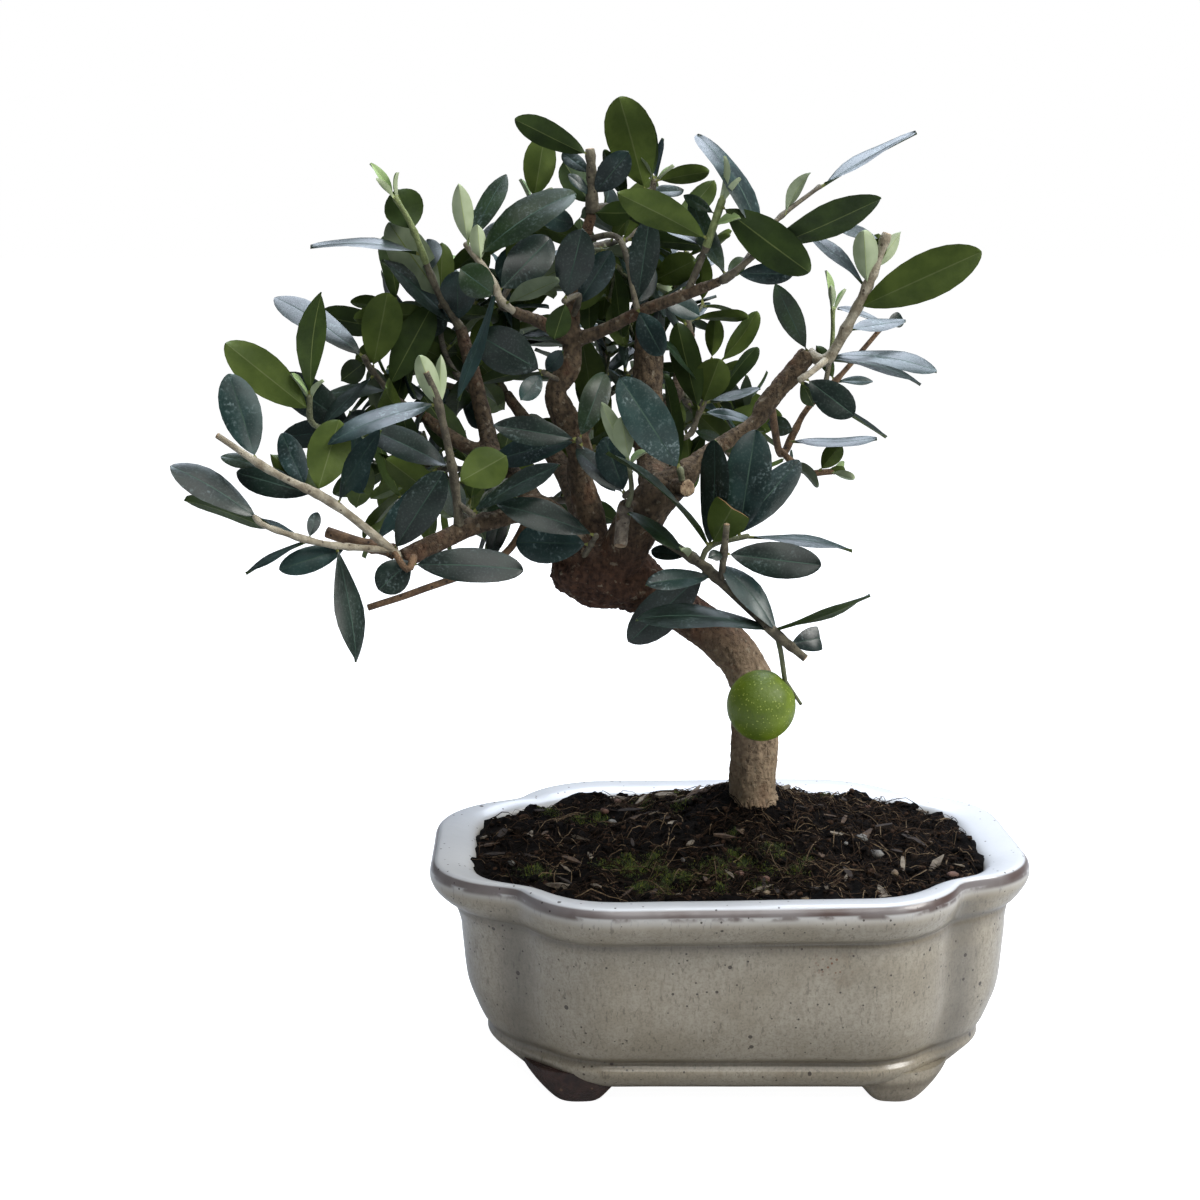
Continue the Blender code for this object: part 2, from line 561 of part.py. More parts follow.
def keep_largest(obj):
    """Drop every loose piece but the one with the most vertices; count all but crumbs."""
    work = bmesh.new()
    work.from_mesh(obj.data)
    left = set(work.verts)
    groups = []
    while left:
        queue = [left.pop()]
        group = set(queue)
        while queue:
            for edge in queue.pop().link_edges:
                for vert in edge.verts:
                    if vert in left:
                        left.discard(vert)
                        group.add(vert)
                        queue.append(vert)
        groups.append(group)
    groups.sort(key=len, reverse=True)
    dropped = [v for group in groups[1:] for v in group]
    crumbs = [g for g in groups[1:]
              if max((v.co - w.co).length for v in g for w in g) < CRUMB]
    bmesh.ops.delete(work, geom=dropped, context="VERTS")
    work.to_mesh(obj.data)
    work.free()
    return len(groups) - 1 - len(crumbs)


def loft(name, rings, material, cap_start=True, cap_end=True):
    """Skin over closed rings of equal count, with flat ends."""
    count = len(rings[0])
    verts = [v for ring in rings for v in ring]
    faces = []
    for k in range(len(rings) - 1):
        for j in range(count):
            nxt = (j + 1) % count
            faces.append((k * count + j, k * count + nxt,
                          (k + 1) * count + nxt, (k + 1) * count + j))
    for closed, ring in ((cap_start, 0), (cap_end, len(rings) - 1)):
        if closed:
            verts.append(sum((Vector(v) for v in rings[ring]), Vector()) / count)
            hub = len(verts) - 1
            for j in range(count):
                faces.append((ring * count + j, ring * count + (j + 1) % count, hub))
    return make_object(name, verts, faces, material)


def tube_rings(points, radii, sides, knots=0.0, seed=0):
    """Rings round a path, with low lumps where knots is above zero."""
    deal = random.Random(seed)
    phases = [deal.uniform(0, math.tau) for _ in range(4)]
    tangent = (points[1] - points[0]).normalized()
    side = tangent.cross(Vector((0, 1, 0)))
    if side.length < 0.2:
        side = tangent.cross(Vector((1, 0, 0)))
    side.normalize()
    rings = []
    run = 0.0
    for k, (point, radius) in enumerate(zip(points, radii)):
        if 0 < k < len(points) - 1:
            tangent = (points[k + 1] - points[k - 1]).normalized()
        elif k:
            tangent = (points[k] - points[k - 1]).normalized()
        if k:
            run += (points[k] - points[k - 1]).length
        side = (side - tangent * side.dot(tangent)).normalized()
        over = tangent.cross(side)
        ring = []
        for j in range(sides):
            angle = math.tau * j / sides
            lump = (0.55 * math.sin(2 * angle + run * 0.19 + phases[0])
                    + 0.45 * math.sin(3 * angle - run * 0.31 + phases[1]))
            reach = radius * (1 + knots * lump)
            ring.append(point + (side * math.cos(angle) + over * math.sin(angle)) * reach)
        rings.append(ring)
    return rings


def modify(obj, other, operation):
    """Boolean with one object or a collection, applied, by the first solver that holds."""
    before = obj.data
    for solver in ("MANIFOLD", "EXACT"):
        boolean = obj.modifiers.new("join", "BOOLEAN")
        boolean.operation = operation
        boolean.solver = solver
        if isinstance(other, bpy.types.Collection):
            boolean.operand_type = "COLLECTION"
            boolean.collection = other
        else:
            boolean.object = other
        done = obj.evaluated_get(bpy.context.evaluated_depsgraph_get())
        mesh = bpy.data.meshes.new_from_object(done)
        obj.modifiers.clear()
        obj.data = mesh
        loose = keep_largest(obj)
        if sound(obj) and (loose == 0 or operation == "DIFFERENCE"):
            break
        print(obj.name, solver, "left", loose, "loose; closed", sound(obj))
        if solver == "MANIFOLD":
            obj.data = before
    bpy.data.meshes.remove(before)


def remove_object(obj):
    mesh = obj.data
    bpy.data.objects.remove(obj)
    bpy.data.meshes.remove(mesh)


def tree_of(obj):
    """Search tree over a mesh."""
    verts = [v.co for v in obj.data.vertices]
    return BVHTree.FromPolygons(verts, [tuple(p.vertices) for p in obj.data.polygons])


# ---- pot ---------------------------------------------------------------------------------
def box_reach(cosine, sine, half_x, half_y, rounding):
    """Distance from the middle to a rounded oblong's edge along one direction."""
    low = 0.0
    high = 120.0
    for _ in range(40):
        mid = (low + high) / 2
        over_x = mid * abs(cosine) - (half_x - rounding)
        over_y = mid * abs(sine) - (half_y - rounding)
        outside = math.hypot(max(over_x, 0), max(over_y, 0))
        edge = outside + min(max(over_x, over_y), 0) - rounding
        if edge < 0:
            low = mid
        else:
            high = mid
    return low


def outline_angles():
    """Angles round the pot, closest together at the four notches."""
    quarter = [math.radians(a) for a in QUARTER]
    half = quarter + [math.pi - a for a in reversed(quarter[1:])]
    return half + [math.pi + a for a in half]


def pot_spot(x, y, height):
    """Place given along the pot's own length and depth, moved to where the pot stands."""
    lip = min(max((height - LIP_FROM) / LIP_RISE, 0.0), 1.0)
    turn = math.radians(BODY_TURN + (LIP_TURN - BODY_TURN) * lip)
    return Vector((x * math.cos(turn) - y * math.sin(turn) + BODY_ASIDE * (1 - lip),
                   x * math.sin(turn) + y * math.cos(turn) + POT_BACK, height))


def pot_outline(height, side_inset, end_inset):
    """Lobed outline of the pot, drawn in at its sides and ends, as a ring at one height."""
    follow = side_inset * NOTCH_FOLLOW
    ring = []
    for angle in outline_angles():
        cosine = math.cos(angle)
        sine = math.sin(angle)
        long_body = box_reach(cosine, sine, POT_HALF_LENGTH - end_inset,
                              END_LOBE_HALF_DEPTH - follow, END_LOBE_ROUND - follow)
        short_body = box_reach(cosine, sine, SIDE_LOBE_HALF_LENGTH - follow,
                               POT_HALF_DEPTH - side_inset, SIDE_LOBE_ROUND - follow)
        near = max(NOTCH_BLEND - abs(long_body - short_body), 0) / NOTCH_BLEND
        reach = max(long_body, short_body) + near * near * NOTCH_BLEND / 4
        ring.append(pot_spot(reach * cosine, reach * sine, height))
    return ring


def foot_ring(across, back, height, place_x, place_y, half_length, half_width, sides=16):
    """Oval print of a foot, with a shallow dent in its long sides."""
    turn = math.radians(FOOT_TURN) * -across * back
    ring = []
    for k in range(sides):
        angle = math.tau * k / sides
        cloud = 1 + 0.05 * math.cos(4 * angle)
        x = half_length * cloud * math.cos(angle)
        y = half_width * cloud * math.sin(angle)
        ring.append(pot_spot(across * place_x + x * math.cos(turn) - y * math.sin(turn),
                             back * place_y + x * math.sin(turn) + y * math.cos(turn), height))
    return ring


def build_pot(material):
    pot = loft("pot", [pot_outline(*level) for level in POT_OUTSIDE + POT_INSIDE], material)
    feet = bpy.data.collections.new("feet")
    for across in (-1, 1):
        for back in (-1, 1):
            rings = [foot_ring(across, back, *level) for level in FOOT_RINGS]
            foot = loft("foot", rings, material)
            bpy.context.scene.collection.objects.unlink(foot)
            feet.objects.link(foot)
    modify(pot, feet, "UNION")
    for foot in list(feet.objects):
        remove_object(foot)
    bpy.data.collections.remove(feet)
    tidy_mesh(pot)
    return pot


# ---- soil --------------------------------------------------------------------------------
def soil_height(x, y):
    """Lumpy ground that mounds up to the trunk."""
    reach = math.hypot(x - TRUNK_FOOT[0], (y - TRUNK_FOOT[1]) * 1.15)
    mound = (TRUNK_FOOT[2] - CLEAR - SOIL_EDGE_HEIGHT) * math.exp(-(reach / MOUND_SPREAD) ** 2)
    spot = Vector((x, y, 0)) / SOIL_LUMP_WIDTH
    lumps = noise.noise(spot) + 0.5 * noise.noise(spot * 2 + Vector((3, 8, 5)))
    free = min(1.0, max(0.0, reach - GROUND_PATCH) / 10.0)
    return SOIL_EDGE_HEIGHT + mound + SOIL_LUMP * lumps * free


def build_soil(material):
    inner = [level for level in reversed(POT_INSIDE) if level[0] < SOIL_EDGE_HEIGHT - 10]
    rings = [pot_outline(*(value + SOIL_SKIN for value in level)) for level in inner]
    inset = SOIL_EDGE_INSET + SOIL_SKIN
    edge = pot_outline(SOIL_EDGE_HEIGHT, inset, inset)
    foot = Vector((TRUNK_FOOT[0], TRUNK_FOOT[1], SOIL_EDGE_HEIGHT))
    for share in SOIL_RINGS:
        ring = []
        for point in edge:
            spot = foot.lerp(point, share)
            ring.append(Vector((spot.x, spot.y, soil_height(spot.x, spot.y))))
        rings.append(ring)
    rise = Vector((0, 0, TRUNK_FOOT[2] - CLEAR - SOIL_EDGE_HEIGHT))
    rings.append([foot + (p - foot).normalized() * GROUND_PATCH + rise for p in edge])
    return loft("soil", rings, material)


# ---- limbs -------------------------------------------------------------------------------
def limb_paths():
    """Corner points of every limb, each starting on the limb it leaves."""
    paths = {}
    for name, parent, share, legs, _radii in LIMBS:
        start = place_on(paths[parent], share) if parent else TRUNK_FOOT
        paths[name] = walk(start, legs)
    return paths


def limb_mesh(name, points, radii, material, grow=0.0):
    """One tapering limb; grow swells it by a clearance all round."""
    trunk = name == "trunk"
    route, thick = smooth_path(points, radii, LIMB_STEP)
    if grow:
        first = (route[0] - route[1]).normalized()
        last = (route[-1] - route[-2]).normalized()
        route = [route[0] + first * grow] + route[1:-1] + [route[-1] + last * grow]
        thick = [t + grow for t in thick]
    sides = 14 if radii[0] > THICK_LIMB else 8
    knots = TRUNK_LUMPS if trunk else BOUGH_LUMPS
    rings = tube_rings(route, thick, sides, knots, seed=len(name))
    if trunk:
        for corner in rings[0]:
            corner.z = TRUNK_FOOT[2] - grow
        tip = route[-1] + (route[-1] - route[-2]).normalized() * thick[-1] * 0.7
        rings.append([tip.lerp(v, 0.5) for v in rings[-1]])
    return loft(name, rings, material)


def build_limbs(paths, material):
    """Trunk and boughs, each cut clear of the limbs built before it."""
    made = {}
    cutters = {}
    for name, _parent, _share, _legs, radii in LIMBS:
        limb = limb_mesh(name, paths[name], radii, material)
        for other, cutter in cutters.items():
            if tree_of(limb).overlap(tree_of(cutter)):
                modify(limb, cutter, "DIFFERENCE")
        tidy_mesh(limb)
        cutters[name] = limb_mesh(name, paths[name], radii, material, CLEAR)
        made[name] = limb
    return made, cutters


# ---- leaves and twigs --------------------------------------------------------------------
def leaf_shape(base, axis, face, length, width, bend, kind, swell=0.0):
    """Closed leaf with a keel along its underside: vertices and faces."""
    side = axis.cross(face).normalized()
    face = side.cross(axis).normalized()
    stations = ((0.30, 0.88), (0.70, 0.90))
    if kind == CLIPPED:
        stations = ((0.36, 0.80), (0.97, 0.92))
    verts = [base - axis * (LEAF_ROOT + swell)]
    for share, wide in stations:
        rib = base + axis * (length * share) - face * (bend * share * share * length)
        half = width / 2 * wide + swell
        verts.append(rib - face * (LEAF_THICKNESS * 0.75 + swell))
        verts.append(rib + side * half + face * (LEAF_THICKNESS * 0.4 + swell))
        verts.append(rib - side * half + face * (LEAF_THICKNESS * 0.4 + swell))
    verts.append(base + axis * (length + swell) - face * bend * length)
    faces = []
    tip = len(verts) - 1
    for j in range(3):
        nxt = (j + 1) % 3
        faces.append((0, 1 + nxt, 1 + j))
        faces.append((tip, tip - 3 + j, tip - 3 + nxt))
        for k in range(len(stations) - 1):
            a = 1 + 3 * k
            faces.append((a + j, a + nxt, a + 3 + nxt, a + 3 + j))
    return verts, faces


def turned_face(axis, turn):
    """Upper face of a leaf: as level as it can be, then turned about the leaf's axis."""
    up = Vector((0, 0, 1)) - axis * axis.z
    return Matrix.Rotation(math.radians(turn), 3, axis) @ up.normalized()


def leaf_rows(name, points):
    """Every leaf of a shoot as (share, axis, face, length, width, bend, kind)."""
    deal = random.Random(len(name) * 31 + ord(name[0]))
    rows = []
    for share, heading, climb, length, width, turn, kind in LEAVES.get(name, ()):
        axis = direction(heading, climb)
        rows.append((share, axis, turned_face(axis, turn), length, width,
                     deal.uniform(-0.02, 0.09), kind))
    if name in PAIRS:
        first, last, count, length, roll = PAIRS[name]
        for k in range(count):
            share = first + (last - first) * k / max(1, count - 1)
            along = heading_on(points, share)
            level = along.cross(Vector((0, 0, 1))).normalized()
            for way in (0, 180):
                turn = math.radians(roll + 90 * k + way + deal.uniform(-14, 14))
                out = Matrix.Rotation(turn, 3, along) @ level
                spread = math.radians(LEAF_SPREAD + deal.uniform(-10, 8))
                axis = (along * math.cos(spread) + out * math.sin(spread)).normalized()
                face = (along * 0.8 + Vector((0, 0, 0.6))).normalized()
                long = length * deal.uniform(0.85, 1.1)
                rows.append((share, axis, face, long, long * deal.uniform(0.36, 0.46),
                             deal.uniform(0.0, 0.1), PLAIN))
    return rows


def shoot_paths(limbs):
    """Corner points of every shoot, each starting on a limb or an earlier shoot."""
    paths = dict(limbs)
    for name, _mass, parent, share, legs, _radii, _tip in SHOOTS:
        paths[name] = walk(place_on(paths[parent], share), legs)
    return paths


def tip_rows(name, points, tip):
    """Small new leaves at a shoot's tip: two for a leafy bud, three for a sprout."""
    if tip == "bud" and name not in PAIRS:
        return []
    along = heading_on(points, 1.0)
    level = along.cross(Vector((0.3, 0.2, 1))).normalized()
    sizes = {"bud": ((25, 40, 7, 2.6), (205, 40, 6, 2.4)),
             "sprout": ((10, 12, 10, 2.6), (130, 25, 7, 2.0), (250, 30, 6, 2.0))}
    rows = []
    for roll, lean, length, width in sizes.get(tip, ()):
        out = Matrix.Rotation(math.radians(roll), 3, along) @ level
        lean = math.radians(lean)
        axis = (along * math.cos(lean) + out * math.sin(lean)).normalized()
        rows.append((1.0, axis, along, length, width, 0.0, PALE))
    return rows


class Thicket:
    """Remembers what stands where, so that new growth keeps clear of it."""

    def __init__(self, limb_cutters):
        self.limbs = [tree_of(cutter) for cutter in limb_cutters.values()]
        self.masses = {}

    def blocked(self, mass, verts, faces):
        probe = BVHTree.FromPolygons(verts, faces)
        if any(probe.overlap(tree) for tree in self.limbs):
            return True
        if min(v.z for v in verts) < LEAF_FLOOR:
            return True
        for name, trees in self.masses.items():
            if name != mass and any(probe.overlap(tree) for tree in trees):
                return True
        return False

    def in_limb(self, point):
        """True where a point lies within a limb or its clearance."""
        for tree in self.limbs:
            spot, normal, _index, _distance = tree.find_nearest(point)
            if (point - spot).dot(normal) < 0.4:
                if (point - spot).length < 0.4 or (point - spot).dot(normal) < 0:
                    return True
        return False

    def crowded(self, mass, verts, faces):
        probe = BVHTree.FromPolygons(verts, faces)
        return any(probe.overlap(tree) for tree in self.masses.get(mass, ())[1:])

    def add(self, mass, verts, faces):
        self.masses.setdefault(mass, []).append(BVHTree.FromPolygons(verts, faces))


def fit_leaf(thicket, mass, points, row):
    """First nudge of a leaf that keeps clear, or None when it has to be left out."""
    share, axis, face, length, width, bend, kind = row
    base = place_on(points, share)
    while thicket.in_limb(base) and share < 0.98:
        share = min(1.0, share + 0.04)
        base = place_on(points, share)
    spare = None
    across = axis.cross(Vector((0, 0, 1))).normalized()
    for swing, lift in NUDGES:
        turn = (Matrix.Rotation(math.radians(swing), 3, Vector((0, 0, 1)))
                @ Matrix.Rotation(math.radians(lift), 3, across))
        moved = turn @ axis
        start = base + moved * LEAF_STALK
        probe = leaf_shape(start, moved, turn @ face, length - LEAF_STALK, width, bend, kind,
                           CLEAR)
        if thicket.blocked(mass, *probe):
            continue
        if not thicket.crowded(mass, *probe):
            return base, moved, turn @ face
        spare = spare or (base, moved, turn @ face)
    return spare


def build_masses(paths, limb_cutters, material):
    """Each mass is its shoots and leaves, fused into one body."""
    thicket = Thicket(limb_cutters)
    pieces = {}
    for name, mass, _parent, _share, _legs, radii, _tip in SHOOTS:
        route, thick = smooth_path(paths[name], radii, TWIG_STEP)
        sides = 5 if radii[0] > 1.2 else 4 if radii[0] > 0.85 else 3
        rings = tube_rings(route, thick, sides)
        stem = loft("stem", rings, material)
        for cutter in limb_cutters.values():
            if tree_of(stem).overlap(tree_of(cutter)):
                modify(stem, cutter, "DIFFERENCE")
        tidy_mesh(stem)
        pieces.setdefault(mass, []).append(stem)
        swollen = tube_rings(route, [t + CLEAR for t in thick], sides)
        verts = [v for ring in swollen for v in ring]
        faces = [(k * sides + j, k * sides + (j + 1) % sides,
                  (k + 1) * sides + (j + 1) % sides, (k + 1) * sides + j)
                 for k in range(len(swollen) - 1) for j in range(sides)]
        thicket.add(mass, verts, faces)
    left_out = 0
    grown = 0
    for name, mass, _parent, _share, _legs, _radii, tip in SHOOTS:
        points = paths[name]
        for row in leaf_rows(name, points) + tip_rows(name, points, tip):
            spot = fit_leaf(thicket, mass, points, row)
            if spot is None:
                left_out += 1
                continue
            base, axis, face = spot
            _share, _axis, _face, length, width, bend, kind = row
            shape = leaf_shape(base, axis, face, length, width, bend, kind)
            pieces[mass].append(make_object("leaf", *shape, material, smooth=False))
            thicket.add(mass, *leaf_shape(base + axis * LEAF_STALK, axis, face,
                                          length - LEAF_STALK, width, bend, kind, CLEAR / 2))
            grown += 1
        if tip == "olive":
            pieces[mass].append(build_olive(points[-1], material))
    print("leaves", grown, "left out", left_out)
    return [fuse("foliage_" + mass, parts) for mass, parts in pieces.items()]


def build_olive(stalk_end, material):
    run, heading, climb = OLIVE_DROP
    middle = stalk_end + direction(heading, climb) * run
    across, deep, tall = OLIVE_RADII
    rings = []
    levels = 9
    for k in range(1, levels):
        lean = math.pi * k / levels
        rings.append([middle + Vector((across * math.sin(lean) * math.cos(math.tau * j / 16),
                                       deep * math.sin(lean) * math.sin(math.tau * j / 16),
                                       -tall * math.cos(lean))) for j in range(16)])
    return loft("olive", rings, material)


def fuse(name, parts):
    """Union of a mass's pieces."""
    body = parts[0]
    body.name = name
    body.data.name = name
    group = bpy.data.collections.new(name)
    for part in parts[1:]:
        for home in list(part.users_collection):
            home.objects.unlink(part)
        group.objects.link(part)
    modify(body, group, "UNION")
    for part in parts[1:]:
        remove_object(part)
    bpy.data.collections.remove(group)
    tidy_mesh(body, smooth=False)
    return body


def sound(obj):
    """True where every edge joins two faces."""
    work = bmesh.new()
    work.from_mesh(obj.data)
    closed = all(edge.is_manifold for edge in work.edges) and len(work.faces) > 0
    work.free()
    return closed


# ---- whole -------------------------------------------------------------------------------
def material_named(name, colour, roughness):
    material = bpy.data.materials.new(name)
    material.use_nodes = True
    surface = material.node_tree.nodes["Principled BSDF"]
    surface.inputs["Base Color"].default_value = (*colour, 1.0)
    surface.inputs["Roughness"].default_value = roughness
    return material


def clear_scene():
    for obj in list(bpy.data.objects):
        bpy.data.objects.remove(obj)


def stand_centred(pieces):
    """Hang every piece on one empty, in metres and centred on the origin."""
    for piece in pieces:
        piece.data.transform(Matrix.Scale(MM, 4))
    holder = bpy.data.objects.new("plant", None)
    bpy.context.scene.collection.objects.link(holder)
    corners = np.array([tuple(v.co) for piece in pieces for v in piece.data.vertices])
    low = corners.min(axis=0)
    high = corners.max(axis=0)
    for piece in pieces:
        piece.parent = holder
    holder.location = (-(low[0] + high[0]) / 2, -(low[1] + high[1]) / 2, -low[2])
    print("size", (high - low).round(4), "shift", tuple(round(v, 5) for v in holder.location))


def main():
    clear_scene()
    glaze = material_named("cream_glaze", (0.55, 0.52, 0.45), 0.3)
    ground = material_named("dark_soil", (0.03, 0.025, 0.02), 0.95)
    bark = material_named("bark", (0.16, 0.11, 0.07), 0.85)
    green = material_named("olive_foliage", (0.06, 0.10, 0.05), 0.55)
    pot = build_pot(glaze)
    soil = build_soil(ground)
    paths = limb_paths()
    limbs, cutters = build_limbs(paths, bark)
    masses = build_masses(shoot_paths(paths), cutters, green)
    for cutter in cutters.values():
        remove_object(cutter)
    stand_centred([pot, soil, *limbs.values(), *masses])


main()
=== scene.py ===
"""Olive bonsai in a glazed oval pot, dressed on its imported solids."""
import math
import random

import bmesh
import bpy
import numpy as np
from mathutils import Matrix, Vector, noise
from mathutils.bvhtree import BVHTree


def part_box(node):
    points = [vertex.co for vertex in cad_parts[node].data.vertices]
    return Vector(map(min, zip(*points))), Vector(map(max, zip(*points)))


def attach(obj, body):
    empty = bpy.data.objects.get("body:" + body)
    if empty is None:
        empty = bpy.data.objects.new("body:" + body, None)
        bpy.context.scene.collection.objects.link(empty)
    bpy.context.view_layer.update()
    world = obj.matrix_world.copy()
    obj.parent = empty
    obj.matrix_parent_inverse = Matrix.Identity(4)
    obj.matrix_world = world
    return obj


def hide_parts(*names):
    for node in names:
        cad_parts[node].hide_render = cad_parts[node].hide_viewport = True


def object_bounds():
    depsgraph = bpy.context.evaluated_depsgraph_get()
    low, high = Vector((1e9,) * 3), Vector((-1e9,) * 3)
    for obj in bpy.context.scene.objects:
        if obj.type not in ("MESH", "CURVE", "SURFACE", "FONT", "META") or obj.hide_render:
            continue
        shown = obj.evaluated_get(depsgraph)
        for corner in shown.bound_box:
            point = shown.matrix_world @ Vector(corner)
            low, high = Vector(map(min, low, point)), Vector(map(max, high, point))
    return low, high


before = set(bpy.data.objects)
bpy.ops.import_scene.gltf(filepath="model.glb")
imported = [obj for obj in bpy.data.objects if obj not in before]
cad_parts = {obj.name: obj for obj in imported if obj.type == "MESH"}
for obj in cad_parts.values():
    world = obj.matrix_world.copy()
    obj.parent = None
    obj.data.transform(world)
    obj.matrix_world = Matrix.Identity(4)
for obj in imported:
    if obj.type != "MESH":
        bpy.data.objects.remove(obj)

CAD_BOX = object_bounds()

# Lengths are in millimetres from the middle of the pot's foot, and angles in degrees.
MM = 0.001
POT_LOW, POT_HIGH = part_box("pot")
CLEAR = 0.3                     # gap that new growth keeps to its neighbours

# ---- sizes of the pot ----
POT_HALF_LENGTH = 74.0          # to the outermost line of the lip
POT_HALF_DEPTH = 51.9
POT_BACK = 1.3                  # how far the pot stands behind the tree's own middle
BODY_TURN = 1.2
LIP_TURN = 3.5                  # the hand-made lip sits turned on the body
BODY_ASIDE = 1.2                # and the body lies this far to the right of the lip
LIP_FROM = 38.0
LIP_RISE = 10.0
END_LOBE_HALF_DEPTH = 34.0      # the outline is a long body crossed by a short one
SIDE_LOBE_HALF_LENGTH = 54.0
END_LOBE_ROUND = 21.0
SIDE_LOBE_ROUND = 25.0
NOTCH_FOLLOW = 0.28             # how far the notches move in where the wall is drawn in
NOTCH_BLEND = 6.5
REACH_LIMIT = 120.0             # the outline is found by halving a reach of this length
REACH_HALVINGS = 26
QUARTER = (0, 9, 14, 18.5, 23, 27.5, 32, 36.5, 41, 47, 55, 65, 77)
# height above ground, inset of the long sides and of the ends from the lip's outermost line
POT_OUTSIDE = (
    (4.2, 15.8, 21.2), (5.4, 13.4, 18.8), (7.6, 11.4, 15.5), (9.8, 10.6, 13.0),
    (11.3, 11.4, 12.6), (12.4, 11.3, 12.7), (14.0, 9.8, 11.8), (17.5, 8.1, 10.2),
    (24.0, 6.3, 8.0), (34.0, 5.4, 7.0), (40.0, 5.0, 6.5), (43.9, 4.2, 5.3),
    (46.5, 2.3, 2.6), (48.7, 0.8, 0.8), (50.9, 0.0, 0.0), (53.1, 0.3, 0.3), (54.6, 1.5, 1.5),
)
POT_INSIDE = (
    (54.8, 3.4, 3.4), (54.2, 7.2, 7.2), (52.6, 10.4, 10.4), (49.0, 11.4, 11.4),
    (36.0, 12.0, 12.0), (20.0, 14.6, 14.6), (11.5, 21.0, 21.0), (9.5, 28.0, 28.0),
)
# height above ground, middle, half length and half width, from the sole up into the pot
FOOT_RINGS = (
    (0.0, 38.6, 31.6, 4.8, 3.9), (1.0, 38.8, 31.3, 7.0, 5.5), (3.8, 39.6, 30.0, 10.6, 7.6),
    (6.5, 40.1, 28.4, 13.6, 9.2), (8.6, 40.1, 27.5, 14.8, 10.0),
)
FOOT_TURN = 36.0                # the feet follow the corners of the outline

# ---- sizes of the soil ----
SOIL_EDGE_HEIGHT = 52.0
SOIL_LUMP = 2.6                 # height and width of the lumps in the soil
SOIL_LUMP_WIDTH = 9.0
GROUND_PATCH = 8.6              # flat spot that the trunk stands on
MOUND_SPREAD = 30.0             # how far the soil's mound reaches round the trunk
MOUND_PINCH = 1.15              # it is narrower from front to back
LUMPS_FADE = 10.0               # the lumps fade out over this way to the flat spot

# ---- sizes of the trunk and boughs ----
TRUNK_FOOT = (8.0, 13.0, 59.5)
TWIG_STEP = 9.0
TRUNK_LUMPS = 0.07              # share of the radius
BOUGH_LUMPS = 0.05
# name, limb it leaves, how far along that limb, legs of (run, heading, climb), radii
LIMBS = (
    ("trunk", None, 0,
     ((4, 180, 85), (13, -85, 85), (12, -100, 80), (6, -120, 70), (8, -165, 60),
      (8, -160, 45), (9, -170, 35), (10, -165, 35), (8, -175, 30), (7, -170, 10), (6, -170, 15)),
     (7.1, 6.2, 5.9, 5.7, 5.7, 5.4, 5.1, 5.4, 6.2, 7.6, 8.5, 7.3)),
    ("bough_left", "trunk", 0.97,
     ((13, -150, 55), (8, -155, 45), (9, -150, -5), (12, -150, -15), (16, -150, -20)),
     (5.2, 4.3, 3.4, 2.7, 2.2, 2.4)),
    ("bough_left_back", "bough_left", 0.35,
     ((12, 130, 35), (10, 135, 30), (9, 155, 15), (15, 155, 30)),
     (2.6, 2.4, 2.2, 1.9, 1.4)),
    ("bough_left_rear", "bough_left_back", 0.48,
     ((10, 115, 55), (11, 135, 70), (13, 140, 70)),
     (2.2, 2.1, 2, 1.6)),
    ("bough_centre", "trunk", 0.94,
     ((14, 110, 65), (10, 165, 75), (8, -90, 75), (10, -170, 65), (6, -140, 70), (7, -15, 60),
      (6, 5, 85), (10, 85, 85), (11, 40, 75), (10, 5, 75)),
     (4.8, 3.8, 3.2, 3.2, 3.4, 2.7, 2.6, 2.3, 1.9, 1.5, 1.3)),
    ("arm_left", "bough_centre", 0.66,
     ((9, -145, 30), (9, -145, 20)),
     (1.7, 1.6, 1.3)),
    ("arm_right", "bough_centre", 0.66,
     ((10, -25, 20), (10, -25, 25), (12, -20, 20), (9, -25, 20)),
     (1.9, 1.6, 1.5, 1.4, 1.1)),
    ("bough_right", "trunk", 0.9,
     ((15, -40, 60), (9, -20, 55), (8, 0, 40), (7, 25, 40), (15, 20, 30), (6, 25, 50),
      (16, 10, 50)),
     (6.3, 5.8, 5, 3.5, 2.1, 1.8, 2.3, 2.4)),
    ("bough_rear", "bough_right", 0.32,
     ((14, 95, 30), (16, 105, 70), (18, 75, 80)),
     (4, 4, 3.9, 3.7)),
    ("stub_grey", "bough_right", 0.22,
     ((9, -115, 30), (10, -105, -60)),
     (1.9, 1.9, 1.7)),
    ("stub_cut", "bough_right", 0.37,
     ((10, -65, 5),),
     (2.3, 2.1)),
    ("bough_back_left", "trunk", 0.94,
     ((20, 105, 35), (18, 115, 40), (16, 130, 35), (13, 135, 40)),
     (4, 3.2, 2.6, 1.9, 1.5)),
    ("bough_back_right", "bough_rear", 0.41,
     ((16, 70, 25), (16, 75, 35), (12, 75, 45)),
     (2.4, 2.1, 1.7, 1.4)),
)

# ---- shoots and leaves ----
LEAF_THICKNESS = 0.55
PLAIN, PALE, CLIPPED = range(3)
